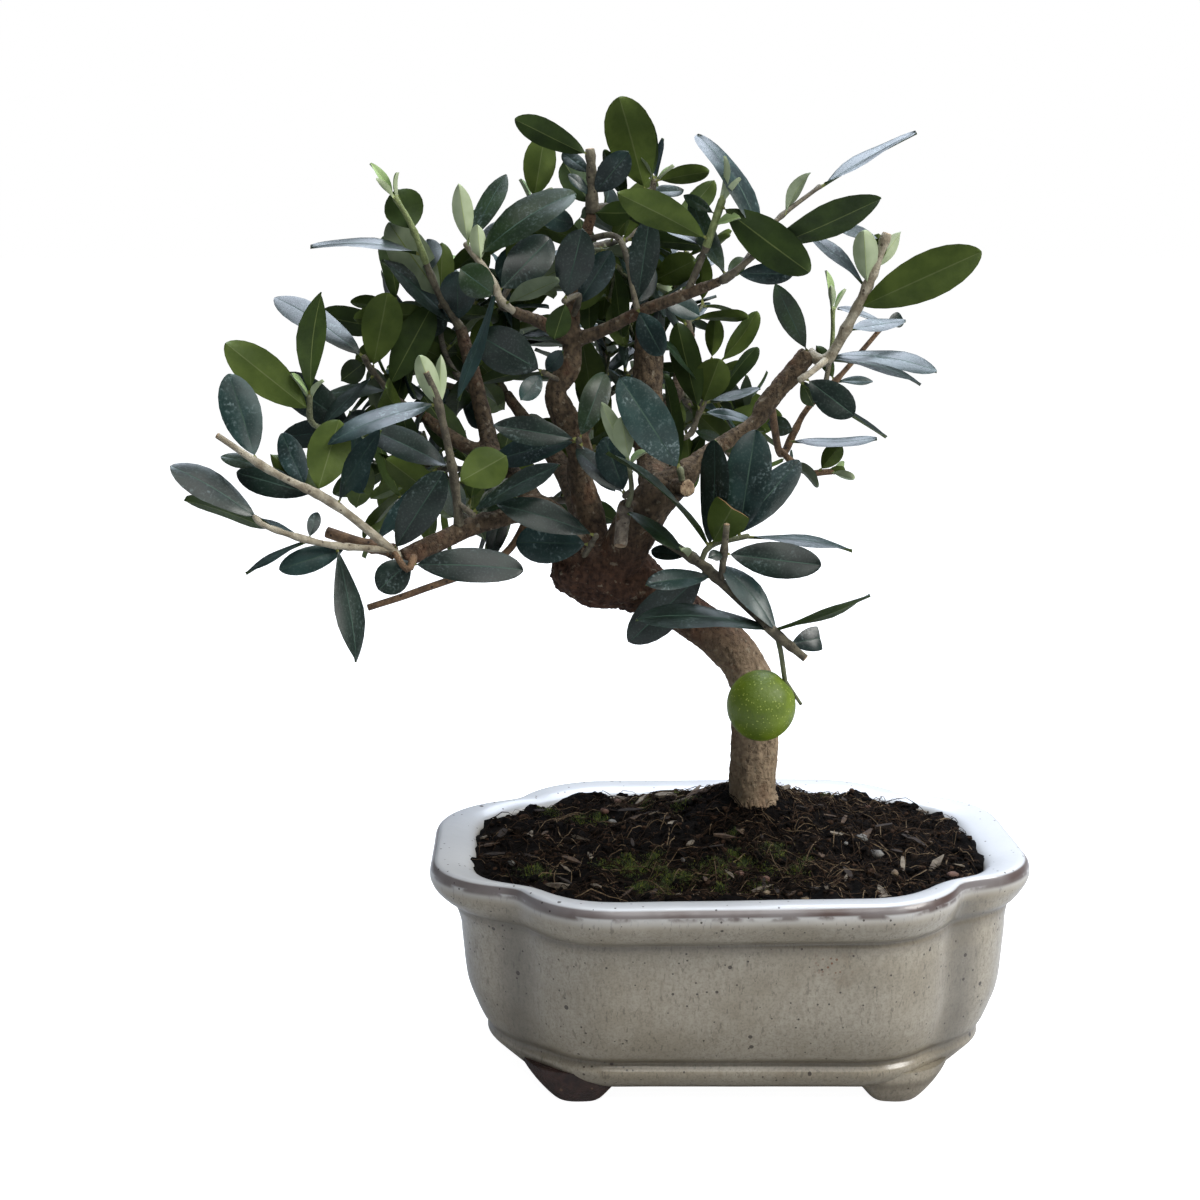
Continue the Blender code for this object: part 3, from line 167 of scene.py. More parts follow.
# name, mass, what it leaves, how far along it, legs of (run, heading, climb), radii, tip
SHOOTS = (
    ("pale twig", "left_tip", "bough_left", 1,
     ((22, -145, 40), (17, -150, 30), (15, -145, 35)), (1.1, 0.7), "cut"),
    ("low twig", "left_tip", "pale twig", 0.07,
     ((17, -145, 10), (14, -150, 20), (4, -150, 40)), (0.8, 0.55), "bud"),
    ("knob twig", "left_tip", "pale twig", 0.06,
     ((10, 145, 5), (9, 165, 15)), (1.5, 1.4), "cut"),
    ("under twig", "left_tip", "pale twig", 0.06,
     ((7, -50, -30), (4, 70, 35)), (0.8, 0.7), "bud"),
    ("broken twig", "left_under", "bough_left", 0.39,
     ((14, -170, -55), (21, -165, -20), (13, -160, -15)), (0.95, 0.8), "cut"),
    ("upright twig", "left_upright", "bough_left", 0.73,
     ((15, -105, 75), (17, -130, 75), (8, -135, 65)), (1.1, 0.75), "cut"),
    ("crossing twig", "left_upright", "upright twig", 0.19,
     ((5, -15, -35),), (0.7, 0.6), "bud"),
    ("far twig", "far_left", "bough_left_back", 1,
     ((19, -140, -10), (12, -135, 10), (7, -105, 75)), (0.9, 0.6), "bud"),
    ("second twig", "far_left", "bough_left_back", 0.98,
     ((8, -155, 35), (10, -135, 45), (4, -120, 50)), (0.8, 0.6), "bud"),
    ("high left twig", "upper_left", "bough_left_rear", 0.99,
     ((12, -130, 50), (18, -125, 60), (8, -160, 60)), (0.95, 0.6), "sprout"),
    ("side twig", "upper_left", "high left twig", 0.22,
     ((10, 140, -20), (11, 140, -20)), (0.8, 0.6), "bud"),
    ("silver twig", "top_left", "arm_left", 0.99,
     ((5, -155, 40), (4, -170, 75), (10, 145, 45), (2, 145, 45)), (0.85, 0.55), "bud"),
    ("fork twig", "top_left", "silver twig", 0.04,
     ((7, 115, 10), (13, 65, 45), (15, 30, 75)), (0.8, 0.6), "bud"),
    ("leader", "top", "bough_centre", 1,
     ((8, -90, 85), (7, -110, 80)), (1.25, 1), "cut"),
    ("high twig", "top", "leader", 0.08,
     ((9, 40, 5), (9, 20, 25), (2, -45, 75)), (0.85, 0.6), "bud"),
    ("mid twig", "top_middle", "bough_centre", 0.93,
     ((13, -50, 0), (15, -55, -65), (2, 30, -75)), (0.8, 0.6), "bud"),
    ("inner twig", "inner", "bough_centre", 0.72,
     ((10, -75, 35), (6, -125, -10)), (0.75, 0.6), "bud"),
    ("knot twig", "inner_left", "bough_centre", 0.55,
     ((11, -110, 15),), (0.7, 0.6), "bud"),
    ("right twig", "top_right", "arm_right", 1,
     ((3, -15, 30), (10, -10, 40)), (0.95, 0.7), "bud"),
    ("standing twig", "top_right", "arm_right", 0.78,
     ((12, -30, 65), (11, -25, 70)), (0.9, 0.7), "sprout"),
    ("behind twig", "top_right", "right twig", 0.48,
     ((17, 55, 35), (17, 40, 30)), (0.7, 0.5), "bud"),
    ("white twig", "right", "bough_right", 1,
     ((5, -25, -15), (12, -20, 60), (8, -15, 65), (13, -25, 70)), (1.35, 1.1), "cut"),
    ("low white twig", "right", "white twig", 0.14,
     ((9, -125, -20), (3, -160, -30)), (0.9, 0.6), "bud"),
    ("orange twig", "right_back", "bough_right", 0.81,
     ((21, 75, -45), (7, 45, 45), (7, 15, 60), (11, 5, 45), (18, 0, 50)), (1, 0.6), "bud"),
    ("low orange twig", "right_back", "orange twig", 0.3,
     ((9, 20, -40), (7, 0, 0)), (0.8, 0.6), "bud"),
    ("sprout twig", "right_back", "orange twig", 0.64,
     ((12, 50, 75), (9, 75, 90)), (0.7, 0.5), "sprout"),
    ("thin back twig", "right_back_mid", "bough_rear", 0.41,
     ((12, 40, 0), (8, 55, 45), (9, 50, 55)), (0.8, 0.55), "bud"),
    ("top back twig", "right_back_high", "bough_back_right", 1,
     ((11, 120, 60), (11, 145, 65)), (0.85, 0.55), "bud"),
    ("pale pair twig", "front", "stub_grey", 0.54,
     ((6, -60, 60), (7, -120, 80)), (0.75, 0.5), "bud"),
    ("front twig", "front", "pale pair twig", 0.48,
     ((3, 125, -30),), (0.7, 0.6), "bud"),
    ("cut side twig", "front_right", "stub_cut", 0.78,
     ((5, -115, 65),), (0.8, 0.7), "bud"),
    ("left front twig", "front_left", "trunk", 1,
     ((18, -70, 35),), (0.8, 0.6), "bud"),
    ("dark twig", "front_dark", "bough_centre", 0.34,
     ((10, -90, 25),), (0.75, 0.6), "bud"),
    ("olive twig", "lower_right", "bough_right", 0.21,
     ((18, -30, -25), (8, -30, -35), (17, -20, -40), (10, -25, -35)), (1.25, 0.95), "cut"),
    ("cut shoot", "lower_right", "olive twig", 0.49,
     ((7, -75, 75), (8, -75, 75)), (0.85, 0.75), "cut"),
    ("cross shoot", "lower_right", "olive twig", 0.36,
     ((5, 5, 60), (9, 0, 15)), (0.7, 0.5), "bud"),
    ("olive stalk", "lower_right", "olive twig", 0.83,
     ((4, -10, -75), (8, 50, -75)), (0.65, 0.6), "olive"),
    ("stalk spur", "lower_right", "olive stalk", 1,
     ((7, -10, -55),), (0.5, 0.4), "cut"),
    ("back twig 1", "back_left", "bough_back_left", 1,
     ((14, 145, 50), (14, 145, 80)), (0.9, 0.6), "bud"),
    ("back twig 2", "back_left", "back twig 1", 0.1,
     ((14, -170, 0), (11, -160, 25)), (0.85, 0.6), "bud"),
    ("back twig 3", "back_left", "back twig 1", 0.3,
     ((20, 50, 50), (14, 20, 70)), (0.85, 0.6), "bud"),
    ("back twig 4", "back_mid", "bough_back_left", 0.54,
     ((18, 65, 35), (16, 65, 50), (17, 105, 65)), (0.95, 0.6), "bud"),
    ("back twig 5", "back_mid", "back twig 4", 0.48,
     ((19, 35, 40), (14, 55, 70)), (0.8, 0.6), "bud"),
    ("back twig 6", "back_low", "bough_back_left", 0.39,
     ((17, 135, -5), (16, 150, 5), (13, 160, 15)), (0.9, 0.6), "bud"),
    ("back twig 7", "back_right", "bough_back_right", 0.55,
     ((20, 60, -35), (16, 35, -45)), (0.85, 0.6), "bud"),
    ("back twig 8", "back_far_right", "bough_back_right", 0.86,
     ((17, 75, -30), (9, 65, -45)), (0.85, 0.6), "bud"),
    ("crown twig", "back_top", "bough_centre", 0.9,
     ((17, 75, 5), (13, 65, 5), (11, 55, 25)), (0.9, 0.6), "bud"),
    ("crown side twig", "back_top", "crown twig", 0.41,
     ((11, 35, -45), (7, -5, -15)), (0.8, 0.6), "bud"),
    ("left fill twig", "left_mid", "bough_left", 0.65,
     ((16, 130, 15), (13, 140, 20), (12, 150, 30)), (0.85, 0.6), "bud"),
    ("rear fill twig", "rear_mid", "bough_left_rear", 0.44,
     ((18, 125, 30), (13, 110, 50), (14, 70, 70)), (0.85, 0.6), "bud"),
    ("shelf twig", "rear_low", "bough_left_back", 0.4,
     ((14, 130, -10), (16, 135, -5), (12, 155, 20)), (0.85, 0.6), "bud"),
)

# place along the shoot, heading, climb, length, width, turn of the face, and the kind of
# leaf where it isn't a plain one
LEAVES = {
    "pale twig": ((0.75, 170, 15, 11, 4, -45), (0.5, 170, 15, 20, 7, -60),
        (0.45, 150, 30, 18, 6, 120), (0.8, 140, 65, 21, 9, -45), (0.5, 55, 65, 18, 10, -135),
        (0.4, -25, 65, 21, 7, 75), (0.55, 125, 50, 17, 6, -30)),
    "low twig": ((0.95, -175, 35, 23, 8, -45), (0.8, 170, 20, 23, 8, 45),
        (0.6, -160, -25, 16, 5, -15), (0.3, -160, -15, 17, 6, -75), (0.4, -50, -70, 27, 9, -15),
        (0.6, 70, 55, 7, 3, 30), (0.65, 150, 15, 16, 5, 0)),
    "knob twig": ((0, -20, 55, 23, 9, 105), (0.35, 35, 50, 22, 7, 15)),
    "under twig": ((1, -160, -40, 11, 8, -75), (0.8, -5, 0, 26, 9, 60)),
    "broken twig": ((0.35, 75, 50, 14, 5, 15),),
    "upright twig": ((0.75, -155, 70, 14, 5, 75, PALE), (0.75, 85, 80, 13, 3, -165, PALE),
        (0.8, -165, -15, 27, 9, -30), (0.4, 165, 25, 23, 8, -45), (0.3, 25, 25, 14, 10, -105),
        (0.05, 115, 50, 13, 7, -15)),
    "crossing twig": ((0.85, -5, 30, 24, 8, 30), (1, 30, 30, 14, 6, 75)),
    "far twig": ((0.9, -165, 40, 26, 10, 90), (1, 25, 85, 25, 8, -75),
        (0.45, 145, -5, 18, 11, 90), (0.45, -95, 25, 9, 7, -150), (0.35, 40, -70, 19, 8, 120),
        (0.5, 145, -5, 25, 8, -60)),
    "second twig": ((1, 165, 35, 28, 10, -30), (0.8, -25, 75, 20, 10, -60),
        (0.95, 130, -25, 12, 6, 60), (0.75, -140, -35, 19, 6, -15), (0.5, 50, 65, 18, 6, 0),
        (0.5, 20, 60, 23, 9, -105), (0.45, 160, 0, 19, 6, -30)),
    "high left twig": ((0.25, -165, 55, 23, 10, 90), (0.75, 140, 60, 12, 10, 135),
        (0.6, -170, 5, 27, 9, -15), (0, -155, 40, 27, 9, -60), (0.05, -90, 65, 14, 9, -180),
        (0.45, 105, 50, 12, 7, -15), (0.25, 140, -45, 13, 8, -120), (0.05, 150, 15, 17, 6, -45)),
    "silver twig": ((0.95, -140, 80, 15, 5, 60, PALE), (0.7, 130, 80, 9, 4, 150, PALE),
        (1, 45, 55, 21, 7, 15), (0.9, 45, 35, 15, 5, 30), (0.8, -15, 35, 28, 10, 60),
        (0.3, 25, 50, 19, 10, 75), (0.15, -30, 25, 17, 6, -45), (0.35, -140, -60, 28, 10, 15),
        (0.25, -160, 35, 11, 8, -105)),
    "fork twig": ((1, 20, 80, 16, 8, -105), (0.75, -150, -60, 12, 8, -60),
        (0.95, 40, -15, 13, 6, 105)),
    "leader": ((0.9, -165, 25, 20, 7, 60), (0.6, 140, 30, 11, 4, -45),
        (0.25, -150, 40, 8, 3, -75), (0.1, 125, 40, 15, 7, 135), (0.25, -30, 45, 14, 7, 120),
        (0, -150, -10, 17, 6, -30), (0, -35, -20, 12, 6, -105)),
    "high twig": ((0.8, -140, 70, 24, 12, 45), (1, -170, 75, 18, 7, 75), (1, 70, 60, 12, 4, -30),
        (1, -15, 10, 14, 5, -60), (0.85, 45, 5, 13, 4, 45)),
    "mid twig": ((1, -35, 80, 22, 7, 120), (1, -40, -55, 13, 7, 60), (1, 50, 35, 13, 5, 60)),
    "inner twig": ((0.3, -25, 55, 16, 7, 105), (1, -55, 65, 18, 9, 150),
        (0.95, 140, -65, 10, 6, 45)),
    "knot twig": ((1, -170, 30, 18, 11, -90), (1, -135, -40, 9, 5, -60),
        (0.95, -55, 35, 9, 4, 135)),
    "right twig": ((0.95, -15, 25, 29, 10, -45), (0.25, -10, 0, 14, 5, 90),
        (0.95, 150, 60, 31, 11, 0), (0.15, 145, 60, 21, 7, -15), (0.15, 65, 20, 11, 4, -105),
        (0, 160, 20, 17, 6, -90)),
    "standing twig": ((0.6, -170, 25, 27, 9, 45), (0.95, -15, -35, 26, 10, -90),
        (0, -175, 30, 29, 10, -15), (0.85, 140, 20, 10, 3, -75), (0.75, -35, 15, 7, 3, 60, PALE),
        (0.5, 145, 25, 13, 4, -30)),
    "behind twig": ((1, 10, 30, 27, 9, 15), (0.6, 45, 50, 13, 4, -90)),
    "white twig": ((0.5, -15, 25, 32, 11, -90), (0.65, -110, 70, 14, 6, 15, PALE),
        (0.75, 30, 50, 12, 4, -120, PALE), (0.75, 60, 70, 9, 5, -150),
        (0.95, 160, 20, 14, 5, -30), (0.65, 160, 40, 20, 7, -15), (0, -155, 60, 19, 6, -120),
        (0.15, -10, -5, 26, 9, 15), (0.35, 30, 10, 19, 6, 30), (0.1, 20, -10, 28, 10, 15)),
    "low white twig": ((0.9, -20, -35, 15, 8, 75), (1, 15, -30, 28, 10, 15),
        (1, 55, -40, 10, 4, -45)),
    "orange twig": ((0.7, 10, 0, 10, 3, 45), (0.4, -10, 5, 22, 7, 15), (1, 30, 10, 6, 4, 75),
        (1, 160, 20, 13, 4, -15), (0.45, -155, 15, 8, 5, -90), (0.7, 120, 50, 11, 4, 105)),
    "low orange twig": ((0.8, -15, 60, 9, 5, -90), (0.9, 10, 10, 5, 3, -60)),
    "thin back twig": ((0.75, -10, 70, 13, 9, -90), (0.7, 140, 75, 23, 8, 90),
        (0.9, -160, 50, 19, 6, -45), (0.7, 15, -10, 14, 5, 30), (0.5, 15, -20, 9, 3, 90),
        (0.8, 10, 15, 15, 5, 15)),
    "pale pair twig": ((1, -160, 65, 16, 4, 75, PALE), (1, -125, 70, 12, 5, 45, PALE),
        (1, 15, 40, 5, 3, 15, PALE)),
    "front twig": ((0.95, 145, 65, 15, 8, -60), (0.85, 160, 45, 18, 6, -45)),
    "cut side twig": ((0.95, -155, 55, 27, 11, -105), (1, 105, 65, 24, 8, 105)),
    "left front twig": ((1, -170, 20, 25, 8, -60), (0.75, 170, 10, 18, 10, -75)),
    "dark twig": ((1, -170, 10, 21, 7, -75), (0.9, -25, -50, 15, 5, 60), (0.9, 35, 65, 18, 7, 60),
        (0.9, 160, -20, 23, 8, -60)),
    "olive twig": ((0.4, 170, -45, 27, 10, -90), (0.45, -160, 0, 17, 6, -45),
        (0.8, -175, 10, 32, 11, -15), (0.85, 160, 50, 22, 7, -30), (0.8, -15, 25, 25, 8, -30),
        (0.9, 25, 5, 9, 6, 75, CLIPPED), (0.3, -165, 40, 19, 6, -45), (0.3, 150, 10, 11, 4, -60),
        (0.3, -110, 30, 7, 3, 0, PALE)),
    "cut shoot": ((0.5, -10, -5, 23, 9, 75), (0.5, -130, 0, 5, 3, -60)),
    "cross shoot": ((0.35, -45, 55, 12, 10, -60, CLIPPED), (1, -5, -5, 25, 8, 15),
        (0.3, -30, 80, 26, 9, 75), (0.85, 35, 80, 26, 11, 45), (0.7, 25, 45, 26, 9, 30),
        (0.35, -170, 40, 37, 12, -15)),
}

# first and last place along the shoot, number of pairs, leaf length, roll of the first pair
PAIRS = {
    "far twig": (0.1, 0.5, 2, 22, 40),
    "side twig": (0.25, 0.95, 3, 21, 20),
    "fork twig": (0.4, 0.9, 1, 20, 70),
    "high twig": (0.2, 0.6, 1, 20, 10),
    "low orange twig": (0.3, 0.5, 1, 14, 0),
    "top back twig": (0.1, 0.95, 3, 21, 30),
    "back twig 1": (0.08, 0.95, 4, 22, 20),
    "back twig 2": (0.2, 0.95, 3, 22, 60),
    "back twig 3": (0.2, 0.95, 4, 22, 40),
    "back twig 4": (0.15, 0.95, 4, 23, 0),
    "back twig 5": (0.2, 0.95, 3, 22, 50),
    "back twig 6": (0.2, 0.95, 4, 22, 10),
    "back twig 7": (0.2, 0.95, 3, 20, 30),
    "back twig 8": (0.2, 0.95, 2, 19, 70),
    "crown twig": (0.3, 0.97, 4, 22, 15),
    "crown side twig": (0.35, 0.95, 2, 21, 50),
    "left fill twig": (0.3, 0.97, 3, 22, 30),
    "rear fill twig": (0.25, 0.97, 4, 21, 60),
    "shelf twig": (0.3, 0.97, 3, 22, 75),
}
LEAF_SPREAD = 58.0              # angle between a paired leaf and its shoot
NUDGES = ((0, 0), (7, 0), (-7, 0), (0, 7), (0, -7), (12, 8), (-12, 8), (12, -8), (-12, -8),
          (20, 0), (-20, 0), (0, 18), (0, -18))
# olive fruit: run, heading and climb from the end of its stalk to its middle, then its radii
OLIVE_DROP = (8.2, -175.0, -47.0)
OLIVE_RADII = (8.2, 8.2, 8.5)

OLIVE_STALK = "olive stalk"
HOME = Vector(((POT_LOW[0] + POT_HIGH[0]) / 2,
               (POT_LOW[1] + POT_HIGH[1]) / 2 - POT_BACK * MM, POT_LOW[2]))
LEAF_STALK = 1.6                # bare stalk at a leaf's base
LEAF_FLOOR = 62.0               # no leaf hangs lower than this

# ---- finer growth ----
SIDE_TWIGS = 4                  # finer twigs on each leafy shoot
SIDE_TWIG_RUN = (7.0, 12.0)
SIDE_LEAF = (13.0, 18.0)
BARE_SHOOTS = ("far twig", "low orange twig", "high twig", "fork twig")
STALK_HALF = 0.42
STALK_STATIONS = (0.0, 0.55)
BLADE_STATIONS = (0, 0.03, 0.08, 0.16, 0.27, 0.4, 0.53, 0.66, 0.78, 0.87, 0.935, 0.975, 0.993, 1)
BLADE_MID = 0.55                # where a blade's bend lies, from rib to edge
RIB_HALF = 0.032
# how fast a blade widens from its base and how blunt its tip is, for full and slim leaves
FULL_BLADE = (0.8, 0.6)
SLIM_BLADE = (0.95, 0.82)
RIB_GROOVE = 0.09               # how deep the rib lies in the upper face
RIB_SWELL = 1.7                 # how much it stands out below, in leaf thicknesses
EDGE_CURL = 0.16
LEAF_WAVE = 0.035               # share of the leaf's width
LEAF_FOLD = (0.06, 0.26)        # how much the halves rise from the rib
NEW_FOLD = 0.5
SLIM_LEAF = 0.34                # a leaf narrower than this share of its length is slim
LEAF_DEEP = 0.42
CLIPPED_SHARE = 0.72            # a clipped leaf keeps this share of its blade

# ---- limbs, as drawn here ----
BARK_STEP = 1.3
BARK_VOXEL = 0.42
BARK_FISSURE = 0.28
BARK_FLAKE = 0.17
BURL_RADIUS = 6.6               # a limb thicker than this is the burl
BURL_ROUGHNESS = 1.5
PLAIN_ROUGHNESS = 0.5
FISSURE_STRETCH = 0.42          # fissures run along the limb, flakes less so
FLAKE_STRETCH = 0.8
FISSURES_PER_MM = 0.62
FLAKES_PER_MM = 1.5
TRUNK_SUNK = 3.0
ROOT_FLARE = 1.12
# how strong the bark's relief is, where it isn't the plain one
ROUGHNESS = {"trunk": 0.85, "bough_centre": 0.8, "bough_right": 0.8, "bough_rear": 0.8,
             "bough_left": 0.6, "stub_cut": 0.7}
# share of the trunk, heading, climb, radius, distance from the trunk's middle
BURL_KNOBS = ((0.86, -100, -20, 4.6, 4.6), (0.93, -60, 30, 4.0, 5.0), (0.98, -130, 0, 4.4, 4.2),
              (0.8, 200, -35, 3.6, 4.4), (0.9, 100, 10, 4.2, 4.6), (0.3, -30, 10, 2.0, 4.4))
SAWN_ENDS = ("stub_cut", "stub_grey", "bough_rear")
CUT_REACH = 1.15                # bare wood reaches this far from a sawn end's middle, in radii
CUT_FACING = 0.72               # and only on faces that look along the limb
STUB_FROM = 0.5                 # the dead stub's grey bark: where it starts and how far past
STUB_PAST = 1.1                 # the end and outside the stub it still counts
STUB_SLACK = 0.6
TWIG_RING_STEP = 1.6
TWIG_JOINT = 0.32               # how much a twig swells at a pair of leaves
GREY_TWIG, PALE_TWIG, RUSTY_TWIG, GREEN_TWIG, YOUNG_TWIG, CUT_TWIG = range(6)
TWIG_COLOURS = (
    (PALE_TWIG, ("pale twig", "low twig", "white twig", "low white twig", "silver twig")),
    (RUSTY_TWIG, ("knob twig", "broken twig", "orange twig", "low orange twig", "under twig")),
    (YOUNG_TWIG, ("olive stalk", "stalk spur", "pale pair twig", "cross shoot", "far twig")),
)

# ---- leaf parts and tints ----
LEAF_ROW = 10                   # points round a leaf
BLADE_TOP, BLADE_UNDER, RIB_TOP, RIB_UNDER, STALK, LEAF_END = range(6)
(DEEP_TOP, BLUE_TOP, GREEN_TOP, GREY_TOP, OLIVE_UNDER, DARK_UNDER, SILVER_UNDER, TOP_RIB,
 UNDER_RIB, LEAF_STEM, NEW_TOP, NEW_UNDER, NEW_RIB, CLIPPED_EDGE) = range(14)
TOP_TINTS = (DEEP_TOP, BLUE_TOP, GREEN_TOP, GREY_TOP)
TOP_SHARES = (0.34, 0.32, 0.18, 0.16)
UNDER_TINTS = (OLIVE_UNDER, DARK_UNDER, SILVER_UNDER)
UNDER_SHARES = (0.55, 0.37, 0.08)

# ---- tones and finishes ----
STREAK_PINCH = 0.3              # streaks are this much shorter in their pattern's height
# heights where the glaze changes: where a band starts, and where it is full
WALL_BAND = (51.5, 48.5)
# the lip is paler, partly its own glaze and partly a painted cool highlight
PALE_LIP_AND_HIGHLIGHT_BAND = (49.8, 54.0)
LINE_LOW_BAND = (51.4, 52.4)    # ragged lower edge of the brown line round the lip
LINE_BAND = (52.4, 53.0)
LINE_TOP_BAND = (54.5, 54.1)
LIP_EDGE_REACH = 6.0            # a face looks out when it lies this far before the middle
# the glaze turns darker towards the bottom: start and full height
LOW_DARK_BAND = (9.0, 2.5)
# and where the bark changes
# the dark burl is partly its own bark and partly painted shade under the crown
BURL_AND_SHADE_BAND = (92.0, 114.0)
BOUGH_BAND = (124.0, 140.0)
# name: tones of the clouds and of the specks, width of the clouds and roughness, and where
# they aren't the usual ones, depth of the relief and shine
SMALL_FINISHES = {
    "bare_clay": (((64, 44, 40), (42, 29, 28), (104, 82, 66)), 3.0, 0.42),
    "dark_soil": (((9, 8, 8), (24, 20, 18), (5, 5, 4)), 1.2, 0.97, 0.5, 0.08),
    "brown_soil": (((44, 35, 28), (20, 16, 14)), 0.9, 0.95, 0.4, 0.08),
    "rusty_soil": (((84, 64, 50), (40, 30, 25)), 0.9, 0.95, 0.4, 0.08),
    "red_pebble": (((108, 78, 64), (82, 60, 50)), 1.4, 0.8),
    "grey_pebble": (((118, 116, 110), (84, 82, 78)), 1.4, 0.75),
    "tan_pebble": (((128, 112, 88), (96, 80, 62)), 1.4, 0.8),
    "brown_chip": (((84, 66, 50), (54, 42, 34), (34, 27, 22)), 1.4, 0.9),
    "grey_chip": (((128, 118, 102), (92, 82, 70), (60, 52, 44)), 1.4, 0.85),
    "dark_chip": (((48, 38, 31), (32, 26, 22)), 1.2, 0.92),
    "brown_fibre": (((72, 56, 43), (46, 36, 28)), 1.0, 0.9, 0.15, 0.1),
    "pale_fibre": (((136, 118, 94), (98, 81, 62)), 1.0, 0.85, 0.15, 0.1),
    "dark_fibre": (((36, 28, 23), (22, 18, 15)), 1.0, 0.92, 0.15, 0.1),
    "moss_green": (((72, 90, 24), (46, 60, 18)), 1.0, 0.9),
    "moss_yellow": (((118, 126, 36), (84, 94, 26)), 1.0, 0.9),
    "moss_dark": (((46, 58, 22), (34, 42, 18)), 1.0, 0.9),
    "cut_wood": (((176, 154, 124), (134, 110, 86), (74, 56, 44)), 1.2, 0.88, 0.3),
    "grey_bark": (((138, 128, 114), (98, 88, 76), (58, 50, 42)), 1.6, 0.88, 0.3),
    "grey_twig": (((104, 98, 80), (74, 68, 56), (50, 42, 34)), 2.2, 0.8),
    "pale_twig": (((168, 160, 140), (128, 118, 98), (90, 80, 64)), 2.6, 0.7),
    "rusty_twig": (((122, 96, 70), (88, 68, 50), (52, 40, 30)), 2.4, 0.82),
    "green_twig": (((132, 144, 92), (106, 118, 70)), 2.0, 0.6),
    "young_twig": (((112, 116, 88), (84, 88, 62)), 2.0, 0.7),
    "twig_cut": (((190, 166, 132), (150, 122, 92)), 0.8, 0.85),
}
# in the order of the leaf tints: name, deep and light tone, and dust on the waxy ones
WAXY_LEAVES = (
    ("leaf_deep", (13, 27, 22), (24, 42, 34), 0.3),
    ("leaf_blue", (15, 34, 32), (30, 54, 51), 0.45),
    ("leaf_green", (17, 37, 15), (33, 55, 24), 0.25),
    ("leaf_grey", (22, 46, 43), (40, 66, 63), 0.6),
)
MATT_LEAVES = (
    ("under_olive", (60, 76, 24), (78, 94, 36)),
    ("under_dark", (36, 52, 16), (52, 70, 24)),
    ("under_silver", (90, 102, 78), (112, 124, 98)),
    ("rib_top", (48, 68, 60), (66, 88, 76)),
    ("rib_under", (82, 94, 50), (98, 110, 62)),
    ("leaf_stem", (122, 126, 70), (100, 104, 54)),
    ("new_top", (128, 152, 98), (150, 172, 118)),
    ("new_under", (150, 164, 128), (172, 184, 150)),
    ("new_rib", (168, 182, 130), (150, 164, 108)),
    ("clipped_edge", (132, 104, 66), (96, 74, 48)),
)

# ---- pot and soil, as drawn here ----
POT_WOBBLE = 0.3
WOBBLE_SEED = 7
POT_DIMPLE = 0.05
# painted shade, partly glaze pooled darker, on the wall round the four notches of the outline
NOTCH_SHADE_SPOT = (52.5, 31.5)       # along the pot's length and depth
NOTCH_SHADE_REACH = 9.0
# a cluster of rusty specks in the glaze: along the length and depth, and how far it reaches
RUST_SPOT = (21.0, -45.0, 7.0)
RUST_HEIGHTS = (34.0, 39.5, 45.0)
# heights of bands darkened as pooled glaze and as painted shade in the hollows: from, deepest, to
POOLED_GLAZE_AND_SHADE_BANDS = ((40.5, 44.4, 47.5), (10.0, 12.2, 15.0), (3.4, 5.2, 7.0))
# height, half width and depth of the grooves under the lip and over the base
POT_GROOVES = ((44.4, 0.7, 0.75), (12.0, 1.4, 0.4))
FOOT_SWELL = 0.05               # share of a foot's width
BARE_FEET = (("left", "front"),)
SOIL_INSET = 9.6
SOIL_ROUNDS = 70
SOIL_DEPTH = 9.0                # how far the soil's skin goes down beside the pot's wall
SOIL_CLODS = 0.85
CLOD_WIDTH = 2.6
CLOD_RAGGED = (0.8, 2.1, 3)     # how fast smaller clods fade, how much smaller, how many sizes
SOIL_GRIT = 0.4
GRIT_WIDTH = 0.9
SOIL_HEAP = 4.8                 # loose earth heaped against the trunk, mostly behind it
SOIL_HEAP_SPREAD = 12.0
SOIL_HEAP_PLACE = (-1.5, 5.0)
LUMP_SIDES = 6                  # crumbs and pebbles
LUMP_BENT = 0.45
CRUMB_COUNT = 4600
CRUMB_SIZE = (0.22, 0.95)
BIG_CRUMBS = 0.12
BIG_CRUMB = 1.6
PEBBLE_COUNT = 26
PEBBLE_SIZE = (0.8, 1.9)
CHIP_COUNT = 110
CHIP_LENGTH = (2.5, 7.5)
CHIP_WIDE = (0.16, 0.4)         # share of the length
CHIP_DEEP = (0.2, 0.45)         # share of the width
CHIP_CLIMB = (-14, 22)
FIBRE_COUNT = 2800
FIBRE_LENGTH = (3.0, 14.0)
FIBRE_RADIUS = (0.06, 0.2)
FIBRE_CURL = 38
FIBRE_BOW = (0.2, 2.0)
FIBRE_RINGS = 7
MOSS_CUSHIONS = 34
MOSS_IN_PATCH = 20
MOSS_PATCH = (-5.0, -20.0, 10.0, 6.0)       # middle, and how far it spreads each way
MOSS_SPREAD = (1.0, 2.6)
MOSS_BLADES = 230

# ---- settings of floor, light and camera ----
FLOOR_HALF = 30000.0
FLOOR_GLOW = 0.97
FLOOR_TONE = (185, 185, 185)
SEEN_WORLD = 1.0
WORLD_LIGHT = 0.13
WORLD_TONE = (226, 234, 244)
# name, heading and climb from the plant, distance, size, power, colour
SOFT_LIGHTS = (
    ("sky_panel", 80, 66, 900, 900, 17.0, (228, 238, 255)),
    ("front_panel", -80, 52, 1000, 700, 4.2, (250, 249, 246)),
    ("side_panel", -22, 34, 1000, 450, 8.4, (252, 250, 246)),
)
LIGHTS_TARGET = (-20.0, 0.0, 120.0)
SENSOR = 36.0
LENS = 54.6
CAMERA_TARGET = (-31.7, 0.0, 116.1)
CAMERA_FROM = (-88.8, 11.0)
CAMERA_AWAY = 450.0

